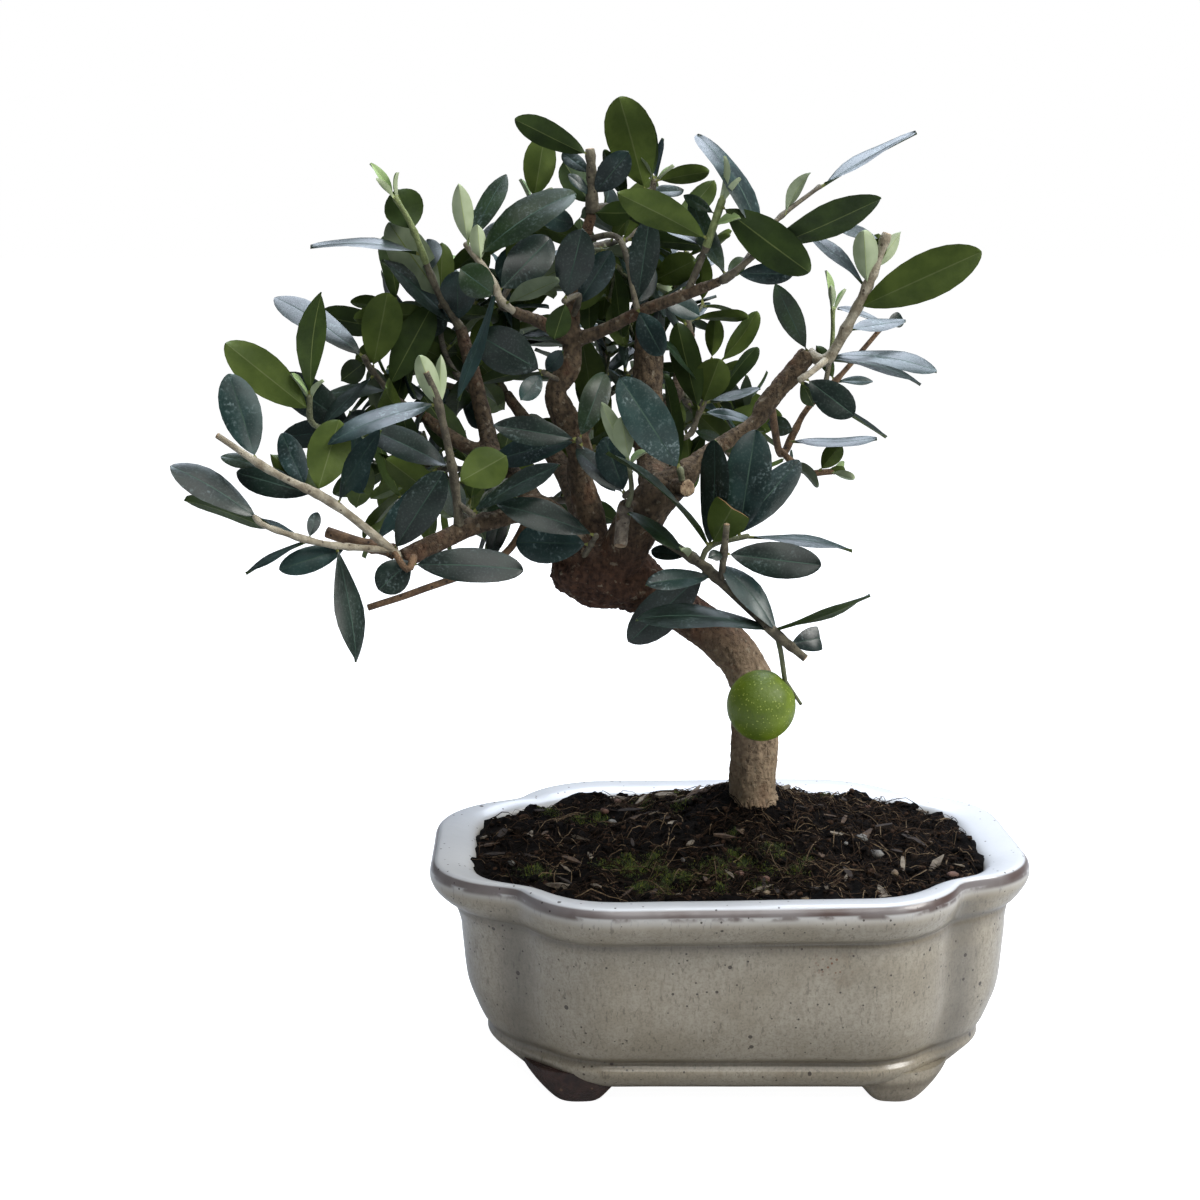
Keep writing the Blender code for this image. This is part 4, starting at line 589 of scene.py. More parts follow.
# ---- directions and paths ----
def direction(heading, climb):
    """Unit vector for a compass heading in plan (from +X towards +Y) and a climb."""
    across = math.cos(math.radians(climb))
    return Vector((across * math.cos(math.radians(heading)),
                   across * math.sin(math.radians(heading)),
                   math.sin(math.radians(climb))))


def walk(start, legs):
    """Corner points of a path that starts at a point and takes each leg in turn."""
    points = [Vector(start)]
    for run, heading, climb in legs:
        points.append(points[-1] + direction(heading, climb) * run)
    return points


def place_on(points, share):
    """Point at a share of a path's length."""
    runs = [(b - a).length for a, b in zip(points, points[1:])]
    left = sum(runs) * share
    for a, b, run in zip(points, points[1:], runs):
        if left <= run:
            return a.lerp(b, left / run)
        left -= run
    return points[-1].copy()


def heading_on(points, share):
    """Direction of a path at a share of its length."""
    step = 0.02
    ahead = place_on(points, min(1.0, share + step))
    behind = place_on(points, max(0.0, share - step))
    return (ahead - behind).normalized()


def curve_point(p0, p1, p2, p3, t):
    """Point at share t from p1 to p2, on a smooth curve that also heeds their neighbours."""
    return 0.5 * (2 * p1 + (p2 - p0) * t + (2 * p0 - 5 * p1 + 4 * p2 - p3) * t ** 2
                  + (3 * p1 - p0 - 3 * p2 + p3) * t ** 3)


def smooth_path(points, radii, step):
    """Round the corners of a path: evenly spaced points and the radius at each."""
    if len(radii) == 2:
        last = len(points) - 1
        radii = [radii[0] + (radii[1] - radii[0]) * k / last for k in range(last + 1)]
    if len(points) == 2:
        count = max(2, round((points[1] - points[0]).length / step))
        shares = [k / count for k in range(count + 1)]
        return ([points[0].lerp(points[1], t) for t in shares],
                [radii[0] + (radii[1] - radii[0]) * t for t in shares])
    padded = [points[0] * 2 - points[1]] + points + [points[-1] * 2 - points[-2]]
    out = []
    thick = []
    for k in range(len(points) - 1):
        near = padded[k:k + 4]
        count = max(1, round((near[2] - near[1]).length / step))
        for j in range(count):
            t = j / count
            out.append(curve_point(*near, t))
            ease = t * t * (3 - 2 * t)
            thick.append(radii[k] + (radii[k + 1] - radii[k]) * ease)
    out.append(points[-1])
    thick.append(radii[-1])
    return out, thick


# ---- where leaves and twigs go ----
def limb_paths():
    """Corner points of every limb, each starting on the limb it leaves."""
    paths = {}
    for name, parent, share, legs, _radii in LIMBS:
        start = place_on(paths[parent], share) if parent else TRUNK_FOOT
        paths[name] = walk(start, legs)
    return paths


def shoot_paths(limbs):
    """Corner points of every shoot, each starting on a limb or an earlier shoot."""
    paths = dict(limbs)
    for name, _mass, parent, share, legs, _radii, _tip in SHOOTS:
        paths[name] = walk(place_on(paths[parent], share), legs)
    return paths


def frames_along(points):
    """Tangent and two cross directions at every point, with no sudden roll."""
    tangent = (points[1] - points[0]).normalized()
    side = tangent.cross(Vector((0, 1, 0)))
    if side.length < 0.2:
        side = tangent.cross(Vector((1, 0, 0)))
    side.normalize()
    frames = []
    for k in range(len(points)):
        ahead = points[min(k + 1, len(points) - 1)]
        behind = points[max(k - 1, 0)]
        tangent = (ahead - behind).normalized()
        side = (side - tangent * side.dot(tangent)).normalized()
        frames.append((tangent, side, tangent.cross(side)))
    return frames


def turned_face(axis, turn):
    """Upper face of a leaf: as level as it can be, then turned about the leaf's axis."""
    up = Vector((0, 0, 1)) - axis * axis.z
    return Matrix.Rotation(math.radians(turn), 3, axis) @ up.normalized()


def pair_rows(points, first, last, count, length, roll, deal):
    """Opposite pairs of leaves, each pair a quarter turn from the one before."""
    rows = []
    for k in range(count):
        share = first + (last - first) * k / max(1, count - 1)
        along = heading_on(points, share)
        level = along.cross(Vector((0, 0, 1))).normalized()
        for way in (0, 180):
            turn = math.radians(roll + 90 * k + way + deal.uniform(-14, 14))
            out = Matrix.Rotation(turn, 3, along) @ level
            spread = math.radians(LEAF_SPREAD + deal.uniform(-10, 8))
            axis = (along * math.cos(spread) + out * math.sin(spread)).normalized()
            face = (along * 0.8 + Vector((0, 0, 0.6))).normalized()
            long = length * deal.uniform(0.85, 1.1)
            rows.append((share, axis, face, long, long * deal.uniform(0.36, 0.46),
                         deal.uniform(0.0, 0.1), PLAIN))
    return rows


def leaf_rows(name, points):
    """Every leaf of a shoot as (share, axis, face, length, width, bend, kind)."""
    deal = random.Random(len(name) * 31 + ord(name[0]))
    rows = []
    for share, heading, climb, length, width, turn, *kind in LEAVES.get(name, ()):
        axis = direction(heading, climb)
        rows.append((share, axis, turned_face(axis, turn), length, width,
                     deal.uniform(-0.02, 0.09), kind[0] if kind else PLAIN))
    if name in PAIRS:
        rows += pair_rows(points, *PAIRS[name], deal)
    return rows


def tip_rows(name, points, tip):
    """Small new leaves at a shoot's tip: two for a leafy bud, three for a sprout."""
    if tip == "bud" and name not in PAIRS:
        return []
    along = heading_on(points, 1.0)
    level = along.cross(Vector((0.3, 0.2, 1))).normalized()
    sizes = {"bud": ((25, 40, 7, 2.6), (205, 40, 6, 2.4)),
             "sprout": ((10, 12, 10, 2.6), (130, 25, 7, 2.0), (250, 30, 6, 2.0))}
    rows = []
    for roll, lean, length, width in sizes.get(tip, ()):
        out = Matrix.Rotation(math.radians(roll), 3, along) @ level
        lean = math.radians(lean)
        axis = (along * math.cos(lean) + out * math.sin(lean)).normalized()
        rows.append((1.0, axis, along, length, width, 0.0, PALE))
    return rows


def plain_leaf(base, axis, face, length, width, bend, swell):
    """Coarse closed leaf that stands for the real one while places are tried."""
    side = axis.cross(face).normalized()
    face = side.cross(axis).normalized()
    verts = [base - axis * swell]
    for share, wide in ((0.30, 0.88), (0.70, 0.90)):
        rib = base + axis * (length * share) - face * (bend * share * share * length)
        half = width / 2 * wide + swell
        verts.append(rib - face * (LEAF_THICKNESS * 0.75 + swell))
        verts.append(rib + side * half + face * (LEAF_THICKNESS * 0.4 + swell))
        verts.append(rib - side * half + face * (LEAF_THICKNESS * 0.4 + swell))
    verts.append(base + axis * (length + swell) - face * bend * length)
    faces = []
    for j in range(3):
        nxt = (j + 1) % 3
        faces.append((0, 1 + nxt, 1 + j))
        faces.append((7, 4 + j, 4 + nxt))
        faces.append((1 + j, 1 + nxt, 4 + nxt, 4 + j))
    return verts, faces


def tube_rings(points, radii, sides):
    """Rings of points round a path."""
    rings = []
    for point, radius, (_tangent, side, over) in zip(points, radii, frames_along(points)):
        angles = [math.tau * j / sides for j in range(sides)]
        rings.append([point + (side * math.cos(a) + over * math.sin(a)) * radius for a in angles])
    return rings


def rings_mesh(rings, closed=True):
    """Skin over rings of equal count, with its ends closed or left open."""
    count = len(rings[0])
    verts = [v for ring in rings for v in ring]
    faces = [(k * count + j, k * count + (j + 1) % count,
              (k + 1) * count + (j + 1) % count, (k + 1) * count + j)
             for k in range(len(rings) - 1) for j in range(count)]
    if closed:
        faces.append(tuple(reversed(range(count))))
        faces.append(tuple((len(rings) - 1) * count + j for j in range(count)))
    return verts, faces


def tube_mesh(points, radii, sides):
    """Open tube as vertices and faces."""
    return rings_mesh(tube_rings(points, radii, sides), closed=False)


class Thicket:
    """Remembers what stands where, so that new growth keeps clear of it."""

    def __init__(self):
        self.limbs = []
        self.shoots = []
        self.leaves = []

    def blocked(self, mass, verts, faces):
        probe = BVHTree.FromPolygons(verts, faces)
        if any(probe.overlap(tree) for tree in self.limbs):
            return True
        if min(v.z for v in verts) < LEAF_FLOOR:
            return True
        others = self.shoots + self.leaves
        return any(owner != mass and probe.overlap(tree) for owner, tree in others)

    def crowded(self, mass, verts, faces):
        probe = BVHTree.FromPolygons(verts, faces)
        return any(owner == mass and probe.overlap(tree) for owner, tree in self.leaves)


def fit_leaf(thicket, mass, points, row):
    """First nudge of a leaf that keeps clear, or None when it has to be left out."""
    share, axis, face, length, width, bend, _kind = row
    base = place_on(points, share)
    spare = None
    across = axis.cross(Vector((0, 0, 1))).normalized()
    for swing, lift in NUDGES:
        turn = (Matrix.Rotation(math.radians(swing), 3, Vector((0, 0, 1)))
                @ Matrix.Rotation(math.radians(lift), 3, across))
        moved = turn @ axis
        start = base + moved * LEAF_STALK
        probe = plain_leaf(start, moved, turn @ face, length - LEAF_STALK, width, bend, CLEAR)
        if thicket.blocked(mass, *probe):
            continue
        if not thicket.crowded(mass, *probe):
            return base, moved, turn @ face
        spare = spare or (base, moved, turn @ face)
    return spare


def side_twigs(paths):
    """Finer twigs on the leafy shoots of the crown's inside: name, mass, corner points."""
    twigs = []
    for name, mass, _parent, _share, _legs, _radii, _tip in SHOOTS:
        if name not in PAIRS or name in BARE_SHOOTS:
            continue
        deal = random.Random(len(name) * 17 + ord(name[-1]))
        for k in range(SIDE_TWIGS):
            share = (k + deal.uniform(0.3, 0.7)) / SIDE_TWIGS
            along = heading_on(paths[name], share)
            level = along.cross(Vector((0, 0, 1))).normalized()
            roll = math.radians(137.5 * k + deal.uniform(-25, 25))
            out = Matrix.Rotation(roll, 3, along) @ level
            lean = (along + out * deal.uniform(0.9, 1.5)).normalized()
            start = place_on(paths[name], share)
            run = deal.uniform(*SIDE_TWIG_RUN)
            bent = (lean + Vector((0, 0, 0.35))).normalized()
            points = [start, start + lean * run * 0.5, start + lean * run * 0.5 + bent * run * 0.5]
            twigs.append((f"{name} side {k}", mass, points))
    return twigs


def grow(paths, limb_skins):
    """Settled leaves and finer twigs: leaves as (base, axis, face, row, name)."""
    thicket = Thicket()
    thicket.limbs = [BVHTree.FromPolygons(*skin) for skin in limb_skins]
    stems = []
    for name, mass, _parent, _share, _legs, radii, tip in SHOOTS:
        route, thick = smooth_path(paths[name], radii, TWIG_STEP)
        skin = tube_mesh(route, [t + CLEAR for t in thick], 6)
        thicket.shoots.append((mass, BVHTree.FromPolygons(*skin)))
        stems.append((name, mass, paths[name], radii, tip))
    leaves = []

    def settle(name, mass, points, rows):
        kept = 0
        for row in rows:
            spot = fit_leaf(thicket, mass, points, row)
            if spot is None:
                continue
            base, axis, face = spot
            skin = plain_leaf(base + axis * LEAF_STALK, axis, face, row[3] - LEAF_STALK,
                              row[4], row[5], CLEAR / 2)
            thicket.leaves.append((mass, BVHTree.FromPolygons(*skin)))
            leaves.append((base, axis, face, row, name))
            kept += 1
        return kept

    for name, mass, points, _radii, tip in list(stems):
        settle(name, mass, points, leaf_rows(name, points) + tip_rows(name, points, tip))
    for name, mass, points in side_twigs(paths):
        deal = random.Random(len(name) * 13 + ord(name[-1]))
        rows = pair_rows(points, 0.35, 0.95, 2, deal.uniform(*SIDE_LEAF), 0, deal)
        inside = [row for row in rows if in_reach(points, row)]
        if settle(name, mass, points, inside):
            stems.append((name, mass, points, (0.5, 0.35), "bud"))
    return stems, leaves


def in_reach(points, row):
    """True where a leaf's tip stays within the reach of the solids."""
    tip = place_on(points, row[0]) + row[1] * row[3]
    place = tip * MM + HOME
    return all(low < at < high for low, at, high in zip(CAD_BOX[0], place, CAD_BOX[1]))


# ---- mesh making ----
class Bin:
    """Gathers the vertices and faces of many small shapes, with a finish for each face."""

    def __init__(self):
        self.verts = []
        self.faces = []
        self.finish = []

    def add(self, verts, faces, finish=0):
        first = len(self.verts)
        self.verts += [tuple(v) for v in verts]
        self.faces += [tuple(first + i for i in face) for face in faces]
        self.finish += finish if isinstance(finish, list) else [finish] * len(faces)

    def piece(self, name, materials, sharp=None, outward=False):
        """Make the object, in metres and in its place over the pot's foot."""
        mesh = bpy.data.meshes.new(name)
        mesh.from_pydata([tuple(Vector(v) * MM + HOME) for v in self.verts], [], self.faces)
        for material in materials:
            mesh.materials.append(material)
        mesh.polygons.foreach_set("material_index", self.finish)
        mesh.polygons.foreach_set("use_smooth", [True] * len(self.faces))
        if sharp:
            mesh.set_sharp_from_angle(angle=math.radians(sharp))
        obj = new_object(name, mesh)
        if outward:
            face_outward(obj)
        return obj


def new_object(name, data):
    """Object of that name and data, put into the scene."""
    obj = bpy.data.objects.new(name, data)
    bpy.context.scene.collection.objects.link(obj)
    return obj


def face_outward(obj):
    """Turn every face to look out of its closed shape."""
    work = bmesh.new()
    work.from_mesh(obj.data)
    bmesh.ops.recalc_face_normals(work, faces=work.faces)
    work.to_mesh(obj.data)
    work.free()


def place_piece(piece, slot, *nodes):
    """Every piece rides on the root body, and the solids that it stands for are hidden."""
    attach(piece, "root")
    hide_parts(*nodes)
    return piece


def closed_tube(points, radii, sides, round_end=True):
    """Tube with a closed foot and a flat or rounded end: vertices and faces."""
    points = list(points)
    radii = list(radii)
    if round_end:
        ahead = (points[-1] - points[-2]).normalized()
        points += [points[-1] + ahead * radii[-1] * 0.55, points[-1] + ahead * radii[-1] * 0.85]
        radii += [radii[-1] * 0.82, radii[-1] * 0.4]
    return rings_mesh(tube_rings(points, radii, sides))


def smooth_rows(rows, parts):
    """Rows of a profile, with extra ones between them on a smooth curve."""
    given = [np.array(row) for row in rows]
    padded = [given[0], *given, given[-1]]
    out = []
    for k in range(len(given) - 1):
        out += [curve_point(*padded[k:k + 4], j / parts) for j in range(parts)]
    return out + [given[-1]]


# ---- pot ----
def box_reach(cosine, sine, half_x, half_y, rounding):
    """Distance from the middle to a rounded oblong's edge along one direction."""
    low = 0.0
    high = REACH_LIMIT
    for _ in range(REACH_HALVINGS):
        mid = (low + high) / 2
        over_x = mid * abs(cosine) - (half_x - rounding)
        over_y = mid * abs(sine) - (half_y - rounding)
        outside = math.hypot(max(over_x, 0), max(over_y, 0))
        edge = outside + min(max(over_x, over_y), 0) - rounding
        if edge < 0:
            low = mid
        else:
            high = mid
    return low


def outline_angles(parts):
    """Angles round the pot, closest together at the four notches."""
    coarse = [math.radians(a) for a in QUARTER] + [math.pi / 2]
    quarter = [a + (b - a) * k / parts for a, b in zip(coarse, coarse[1:]) for k in range(parts)]
    half = quarter + [math.pi - a for a in reversed(quarter[1:])] + [math.pi / 2]
    half.sort()
    return half + [math.pi + a for a in half]


def outline_reach(angle, side_inset, end_inset):
    """Distance from the pot's middle to its lobed outline, in the pot's own directions."""
    cosine = math.cos(angle)
    sine = math.sin(angle)
    follow = side_inset * NOTCH_FOLLOW
    long_body = box_reach(cosine, sine, POT_HALF_LENGTH - end_inset,
                          END_LOBE_HALF_DEPTH - follow, END_LOBE_ROUND - follow)
    short_body = box_reach(cosine, sine, SIDE_LOBE_HALF_LENGTH - follow,
                           POT_HALF_DEPTH - side_inset, SIDE_LOBE_ROUND - follow)
    near = max(NOTCH_BLEND - abs(long_body - short_body), 0) / NOTCH_BLEND
    return max(long_body, short_body) + near * near * NOTCH_BLEND / 4


def pot_spot(x, y, height):
    """Place given along the pot's own length and depth, moved to where the pot stands."""
    lip = min(max((height - LIP_FROM) / LIP_RISE, 0.0), 1.0)
    turn = math.radians(BODY_TURN + (LIP_TURN - BODY_TURN) * lip)
    return Vector((x * math.cos(turn) - y * math.sin(turn) + BODY_ASIDE * (1 - lip),
                   x * math.sin(turn) + y * math.cos(turn) + POT_BACK, height))


def pot_outline(height, side_inset, end_inset, angles):
    """Lobed outline of the pot, drawn in at its sides and ends, as a ring at one height."""
    ring = []
    for angle in angles:
        reach = outline_reach(angle, side_inset, end_inset)
        ring.append(pot_spot(reach * math.cos(angle), reach * math.sin(angle), height))
    return ring


def inside_lip(x, y, inset):
    """True where a spot on the soil lies further in from the lip than the inset."""
    spot = Matrix.Rotation(-math.radians(LIP_TURN), 3, "Z") @ Vector((x, y - POT_BACK, 0))
    return spot.length < outline_reach(math.atan2(spot.y, spot.x), inset, inset)


def hand_thrown(point):
    """Slight unevenness of a hand-finished pot."""
    slow = noise.noise_vector(point / 31.0)
    quick = noise.noise_vector(point / 9.0 + Vector((7, 3, 1)))
    return point + slow * POT_WOBBLE + quick * POT_DIMPLE


def pot_groove(height):
    """Depth of the grooves at a height."""
    return sum(deep * math.exp(-((height - middle) / half) ** 2)
               for middle, half, deep in POT_GROOVES)


def make_pot(glaze):
    """Wall, lip and inside of the pot in one skin; only the outside has the grooves."""
    angles = outline_angles(3)
    parts = 6
    rings = []
    for k, (height, side, end) in enumerate(smooth_rows(POT_OUTSIDE + POT_INSIDE, parts)):
        groove = pot_groove(height) if k < parts * len(POT_OUTSIDE) else 0.0
        rings.append([hand_thrown(v)
                      for v in pot_outline(height, side + groove, end + groove, angles)])
    pot = Bin()
    pot.add(*rings_mesh(rings))
    piece = pot.piece("glazed_pot", [glaze], outward=True)
    return place_piece(piece, "cream_glaze", "pot")


def foot_ring(across, back, height, place_x, place_y, half_length, half_width, sides=48):
    """Oval print of a foot, swollen a little at its ends and in the middle of its sides."""
    turn = math.radians(FOOT_TURN) * -across * back
    ring = []
    for k in range(sides):
        angle = math.tau * k / sides
        swell = 1 + FOOT_SWELL * math.cos(4 * angle)
        x = half_length * swell * math.cos(angle)
        y = half_width * swell * math.sin(angle)
        ring.append(pot_spot(across * place_x + x * math.cos(turn) - y * math.sin(turn),
                             back * place_y + x * math.sin(turn) + y * math.cos(turn),
                             max(height, 0.0)))
    return ring


def make_feet(glaze, clay):
    """Four bun-shaped feet, of which one is bare where the glaze missed it."""
    levels = smooth_rows(FOOT_RINGS, 4)
    for across, side in ((-1, "left"), (1, "right")):
        for back, row in ((-1, "front"), (1, "back")):
            rings = [[hand_thrown(v) if v.z > 0.5 else v for v in foot_ring(across, back, *level)]
                     for level in levels]
            foot = Bin()
            foot.add(*rings_mesh(rings))
            bare = clay if (side, row) in BARE_FEET else glaze
            piece = foot.piece(f"foot_{row}_{side}", [bare], sharp=55, outward=True)
            place_piece(piece, "cream_glaze", "pot")


# ---- soil ----
def soil_height(x, y):
    """Lumpy ground that mounds up to the trunk."""
    reach = math.hypot(x - TRUNK_FOOT[0], (y - TRUNK_FOOT[1]) * MOUND_PINCH)
    mound = (TRUNK_FOOT[2] - CLEAR - SOIL_EDGE_HEIGHT) * math.exp(-(reach / MOUND_SPREAD) ** 2)
    spot = Vector((x, y, 0)) / SOIL_LUMP_WIDTH
    lumps = noise.noise(spot) + 0.5 * noise.noise(spot * 2 + Vector((3, 8, 5)))
    free = min(1.0, max(0.0, reach - GROUND_PATCH) / LUMPS_FADE)
    return SOIL_EDGE_HEIGHT + mound + SOIL_LUMP * lumps * free


def ground(x, y):
    """Height of the soil with its clods and grit."""
    spot = Vector((x, y, 0))
    clods = noise.fractal(spot / CLOD_WIDTH, *CLOD_RAGGED) * SOIL_CLODS
    grit = noise.noise(spot / GRIT_WIDTH + Vector((5, 5, 5))) * SOIL_GRIT
    reach = math.hypot(x - TRUNK_FOOT[0] - SOIL_HEAP_PLACE[0],
                       y - TRUNK_FOOT[1] - SOIL_HEAP_PLACE[1])
    heap = SOIL_HEAP * math.exp(-(reach / SOIL_HEAP_SPREAD) ** 2)
    return soil_height(x, y) + clods + grit + heap


def soil_spot(deal, share_low=0.12, share_high=0.97):
    """Seeded place on the soil, as plan coordinates."""
    angle = deal.uniform(0, math.tau)
    edge = pot_outline(SOIL_EDGE_HEIGHT, SOIL_INSET, SOIL_INSET, [angle])[0]
    share = math.sqrt(deal.uniform(share_low ** 2, share_high ** 2))
    spot = Vector((TRUNK_FOOT[0], TRUNK_FOOT[1], 0)).lerp(edge, share)
    return spot.x, spot.y


def make_soil(finish):
    """Rings of ground from the pot's wall in to the trunk, with a skirt down the wall."""
    angles = outline_angles(4)
    edge = pot_outline(SOIL_EDGE_HEIGHT, SOIL_INSET, SOIL_INSET, angles)
    foot = Vector((TRUNK_FOOT[0], TRUNK_FOOT[1], 0))
    rings = [[Vector((v.x, v.y, SOIL_EDGE_HEIGHT - SOIL_DEPTH)) for v in edge]]
    for k in range(SOIL_ROUNDS):
        share = 1 - (k / SOIL_ROUNDS) ** 0.9 * 0.97
        ring = []
        for point in edge:
            spot = foot.lerp(point, share)
            ring.append(Vector((spot.x, spot.y, ground(spot.x, spot.y))))
        rings.append(ring)
    soil = Bin()
    soil.add(*rings_mesh(rings))
    piece = soil.piece("soil_ground", [finish], outward=True)
    return place_piece(piece, "dark_soil", "soil")


def lump_shape(deal, middle, size, flat=0.75):
    """Small irregular stone or crumb: vertices and faces of a bent ball."""
    turn = Matrix.Rotation(deal.uniform(0, math.tau), 3,
                           Vector((deal.gauss(0, 1), deal.gauss(0, 1), 1)).normalized())
    offset = Vector((deal.uniform(0, 90), deal.uniform(0, 90), 0))
    stretch = deal.uniform(0.6, 1.0)
    rings = []
    for k in range(1, 4):
        lean = math.pi * k / 4
        ring = []
        for j in range(LUMP_SIDES):
            angle = math.tau * (j + 0.5 * (k % 2)) / LUMP_SIDES
            ball = Vector((math.sin(lean) * math.cos(angle), math.sin(lean) * math.sin(angle),
                           math.cos(lean)))
            grown = 1 + LUMP_BENT * noise.noise(ball * 1.4 + offset)
            bent = turn @ Vector((ball.x, ball.y * stretch, ball.z * stretch)) * grown
            ring.append(middle + Vector((bent.x, bent.y, bent.z * flat)) * size)
        rings.append(ring)
    verts, walls = rings_mesh(rings, closed=False)
    top = len(verts)
    pole = turn @ Vector((0, 0, stretch))
    pole = Vector((pole.x, pole.y, pole.z * flat)) * size
    verts += [middle + pole, middle - pole]
    low = top - LUMP_SIDES
    around = [(j, (j + 1) % LUMP_SIDES) for j in range(LUMP_SIDES)]
    faces = [(top, after, j) for j, after in around]
    faces += [(top + 1, low + j, low + after) for j, after in around]
    return verts, faces + walls


def make_crumbs(finishes):
    """Loose crumbs of soil in dark, brown and rusty, with a few bigger ones."""
    deal = random.Random(11)
    crumbs = Bin()
    for _ in range(CRUMB_COUNT):
        x, y = soil_spot(deal)
        size = deal.uniform(*CRUMB_SIZE) * (BIG_CRUMB if deal.random() < BIG_CRUMBS else 1)
        middle = Vector((x, y, ground(x, y) + size * deal.uniform(-0.1, 0.45)))
        verts, faces = lump_shape(deal, middle, size)
        crumbs.add(verts, faces, deal.choice((0, 0, 1, 1, 1, 1, 2)))
    piece = crumbs.piece("soil_crumbs", finishes, sharp=35, outward=True)
    return place_piece(piece, "dark_soil", "soil")


def make_pebbles(finishes):
    """A few small stones, partly sunk in the soil."""
    deal = random.Random(23)
    pebbles = Bin()
    for k in range(PEBBLE_COUNT):
        x, y = soil_spot(deal, 0.3, 0.95)
        size = deal.uniform(*PEBBLE_SIZE)
        middle = Vector((x, y, ground(x, y) + size * 0.3))
        pebbles.add(*lump_shape(deal, middle, size, 0.7), k % len(finishes))
    piece = pebbles.piece("soil_pebbles", finishes, outward=True)
    return place_piece(piece, "dark_soil", "soil")


def make_chips(finishes):
    """Splinters of bark and wood lying on the soil."""
    deal = random.Random(37)
    chips = Bin()
    for k in range(CHIP_COUNT):
        x, y = soil_spot(deal, 0.2, 0.96)
        length = deal.uniform(*CHIP_LENGTH)
        wide = length * deal.uniform(*CHIP_WIDE)
        deep = wide * deal.uniform(*CHIP_DEEP)
        along = direction(deal.uniform(0, 360), deal.uniform(*CHIP_CLIMB))
        over = along.cross(Vector((deal.uniform(-0.4, 0.4), deal.uniform(-0.4, 0.4), 1)))
        over.normalize()
        up = over.cross(along)
        middle = Vector((x, y, ground(x, y) + 0.5 + deep * 0.5))
        verts = []
        ends = ((-0.5, deal.uniform(0.2, 0.8)), (0.0, 1.0), (0.5, deal.uniform(0.1, 0.7)))
        for end, pinch in ends:
            for s, t in ((-1, -1), (1, -1), (1, 1), (-1, 1)):
                verts.append(middle + along * (length * (end + deal.uniform(-0.04, 0.04)))
                             + over * (s * wide / 2 * pinch) + up * (t * deep / 2 * pinch))
        faces = [(0, 3, 2, 1), (8, 9, 10, 11)]
        for row in (0, 4):
            faces += [(row + j, row + (j + 1) % 4, row + 4 + (j + 1) % 4, row + 4 + j)
                      for j in range(4)]
        chips.add(verts, faces, k % len(finishes))
    piece = chips.piece("wood_chips", finishes, sharp=40, outward=True)
    return place_piece(piece, "dark_soil", "soil")


def make_fibres(finishes):
    """Rootlets and fibres that arch out of the soil."""
    deal = random.Random(41)
    fibres = Bin()
    for _ in range(FIBRE_COUNT):
        x, y = soil_spot(deal, 0.15, 0.98)
        heading = deal.uniform(0, 360)
        length = deal.uniform(*FIBRE_LENGTH)
        bow = deal.uniform(*FIBRE_BOW)
        curl = deal.uniform(-FIBRE_CURL, FIBRE_CURL)
        points = []
        for j in range(FIBRE_RINGS):
            t = j / (FIBRE_RINGS - 1)
            points.append(Vector((x, y, 0)))
            points[-1].z = ground(x, y) - 0.3 + math.sin(math.pi * t) * bow + 0.25
            step = direction(heading + curl * t, 0) * (length / (FIBRE_RINGS - 1))
            x += step.x
            y += step.y
        if not inside_lip(x, y, SOIL_INSET - 0.5):
            continue
        thick = deal.uniform(*FIBRE_RADIUS)
        radii = [thick * (1 - 0.6 * j / (FIBRE_RINGS - 1)) for j in range(FIBRE_RINGS)]
        fibres.add(*closed_tube(points, radii, 3, round_end=False),
                   deal.choice((0, 0, 0, 1, 2, 2, 2)))
    piece = fibres.piece("soil_fibres", finishes)
    return place_piece(piece, "dark_soil", "soil")


def make_moss(finishes):
    """Cushions of moss: blades standing out of small mounds."""
    deal = random.Random(53)
    moss = Bin()
    for cushion in range(MOSS_CUSHIONS):
        cx, cy = moss_spot(deal, cushion)
        spread = deal.uniform(*MOSS_SPREAD)
        for _ in range(int(MOSS_BLADES * spread)):
            x = cx + deal.gauss(0, spread)
            y = cy + deal.gauss(0, spread)
            if not inside_lip(x, y, SOIL_INSET + 1):
                continue
            near = math.exp(-((x - cx) ** 2 + (y - cy) ** 2) / (2 * spread ** 2))
            base = Vector((x, y, ground(x, y) - 0.2))
            tall = deal.uniform(0.5, 1.5) * (0.5 + near)
            lean = direction(deal.uniform(0, 360), deal.uniform(30, 85))
            side = lean.cross(direction(deal.uniform(0, 360), 0)).normalized() * 0.16
            over = lean.cross(side).normalized() * 0.12
            tip = base + lean * tall
            verts = [base - side, base + side, base + over, tip]
            faces = [(0, 1, 3), (1, 2, 3), (2, 0, 3), (0, 2, 1)]
            moss.add(verts, faces, deal.choice((0, 0, 1, 2)))
    piece = moss.piece("moss", finishes)
    return place_piece(piece, "dark_soil", "soil")


def moss_spot(deal, cushion):
    """The first cushions grow in a patch before the trunk, the rest anywhere."""
    if cushion < MOSS_IN_PATCH:
        across, back, long, deep = MOSS_PATCH
        return across + deal.gauss(0, long), back + deal.gauss(0, deep)
    return soil_spot(deal, 0.25, 0.9)


# ---- bark ----
def limb_lines(paths):
    """Smooth centre line and radii of every limb; the trunk starts a little in the soil."""
    lines = {}
    for name, _parent, _share, _legs, radii in LIMBS:
        points, thick = smooth_path(paths[name], radii, BARK_STEP)
        if name == "trunk":
            points = [points[0] - Vector((0, 0, TRUNK_SUNK))] + points
            thick = [thick[0] * ROOT_FLARE] + thick
        lines[name] = (points, thick)
    return lines


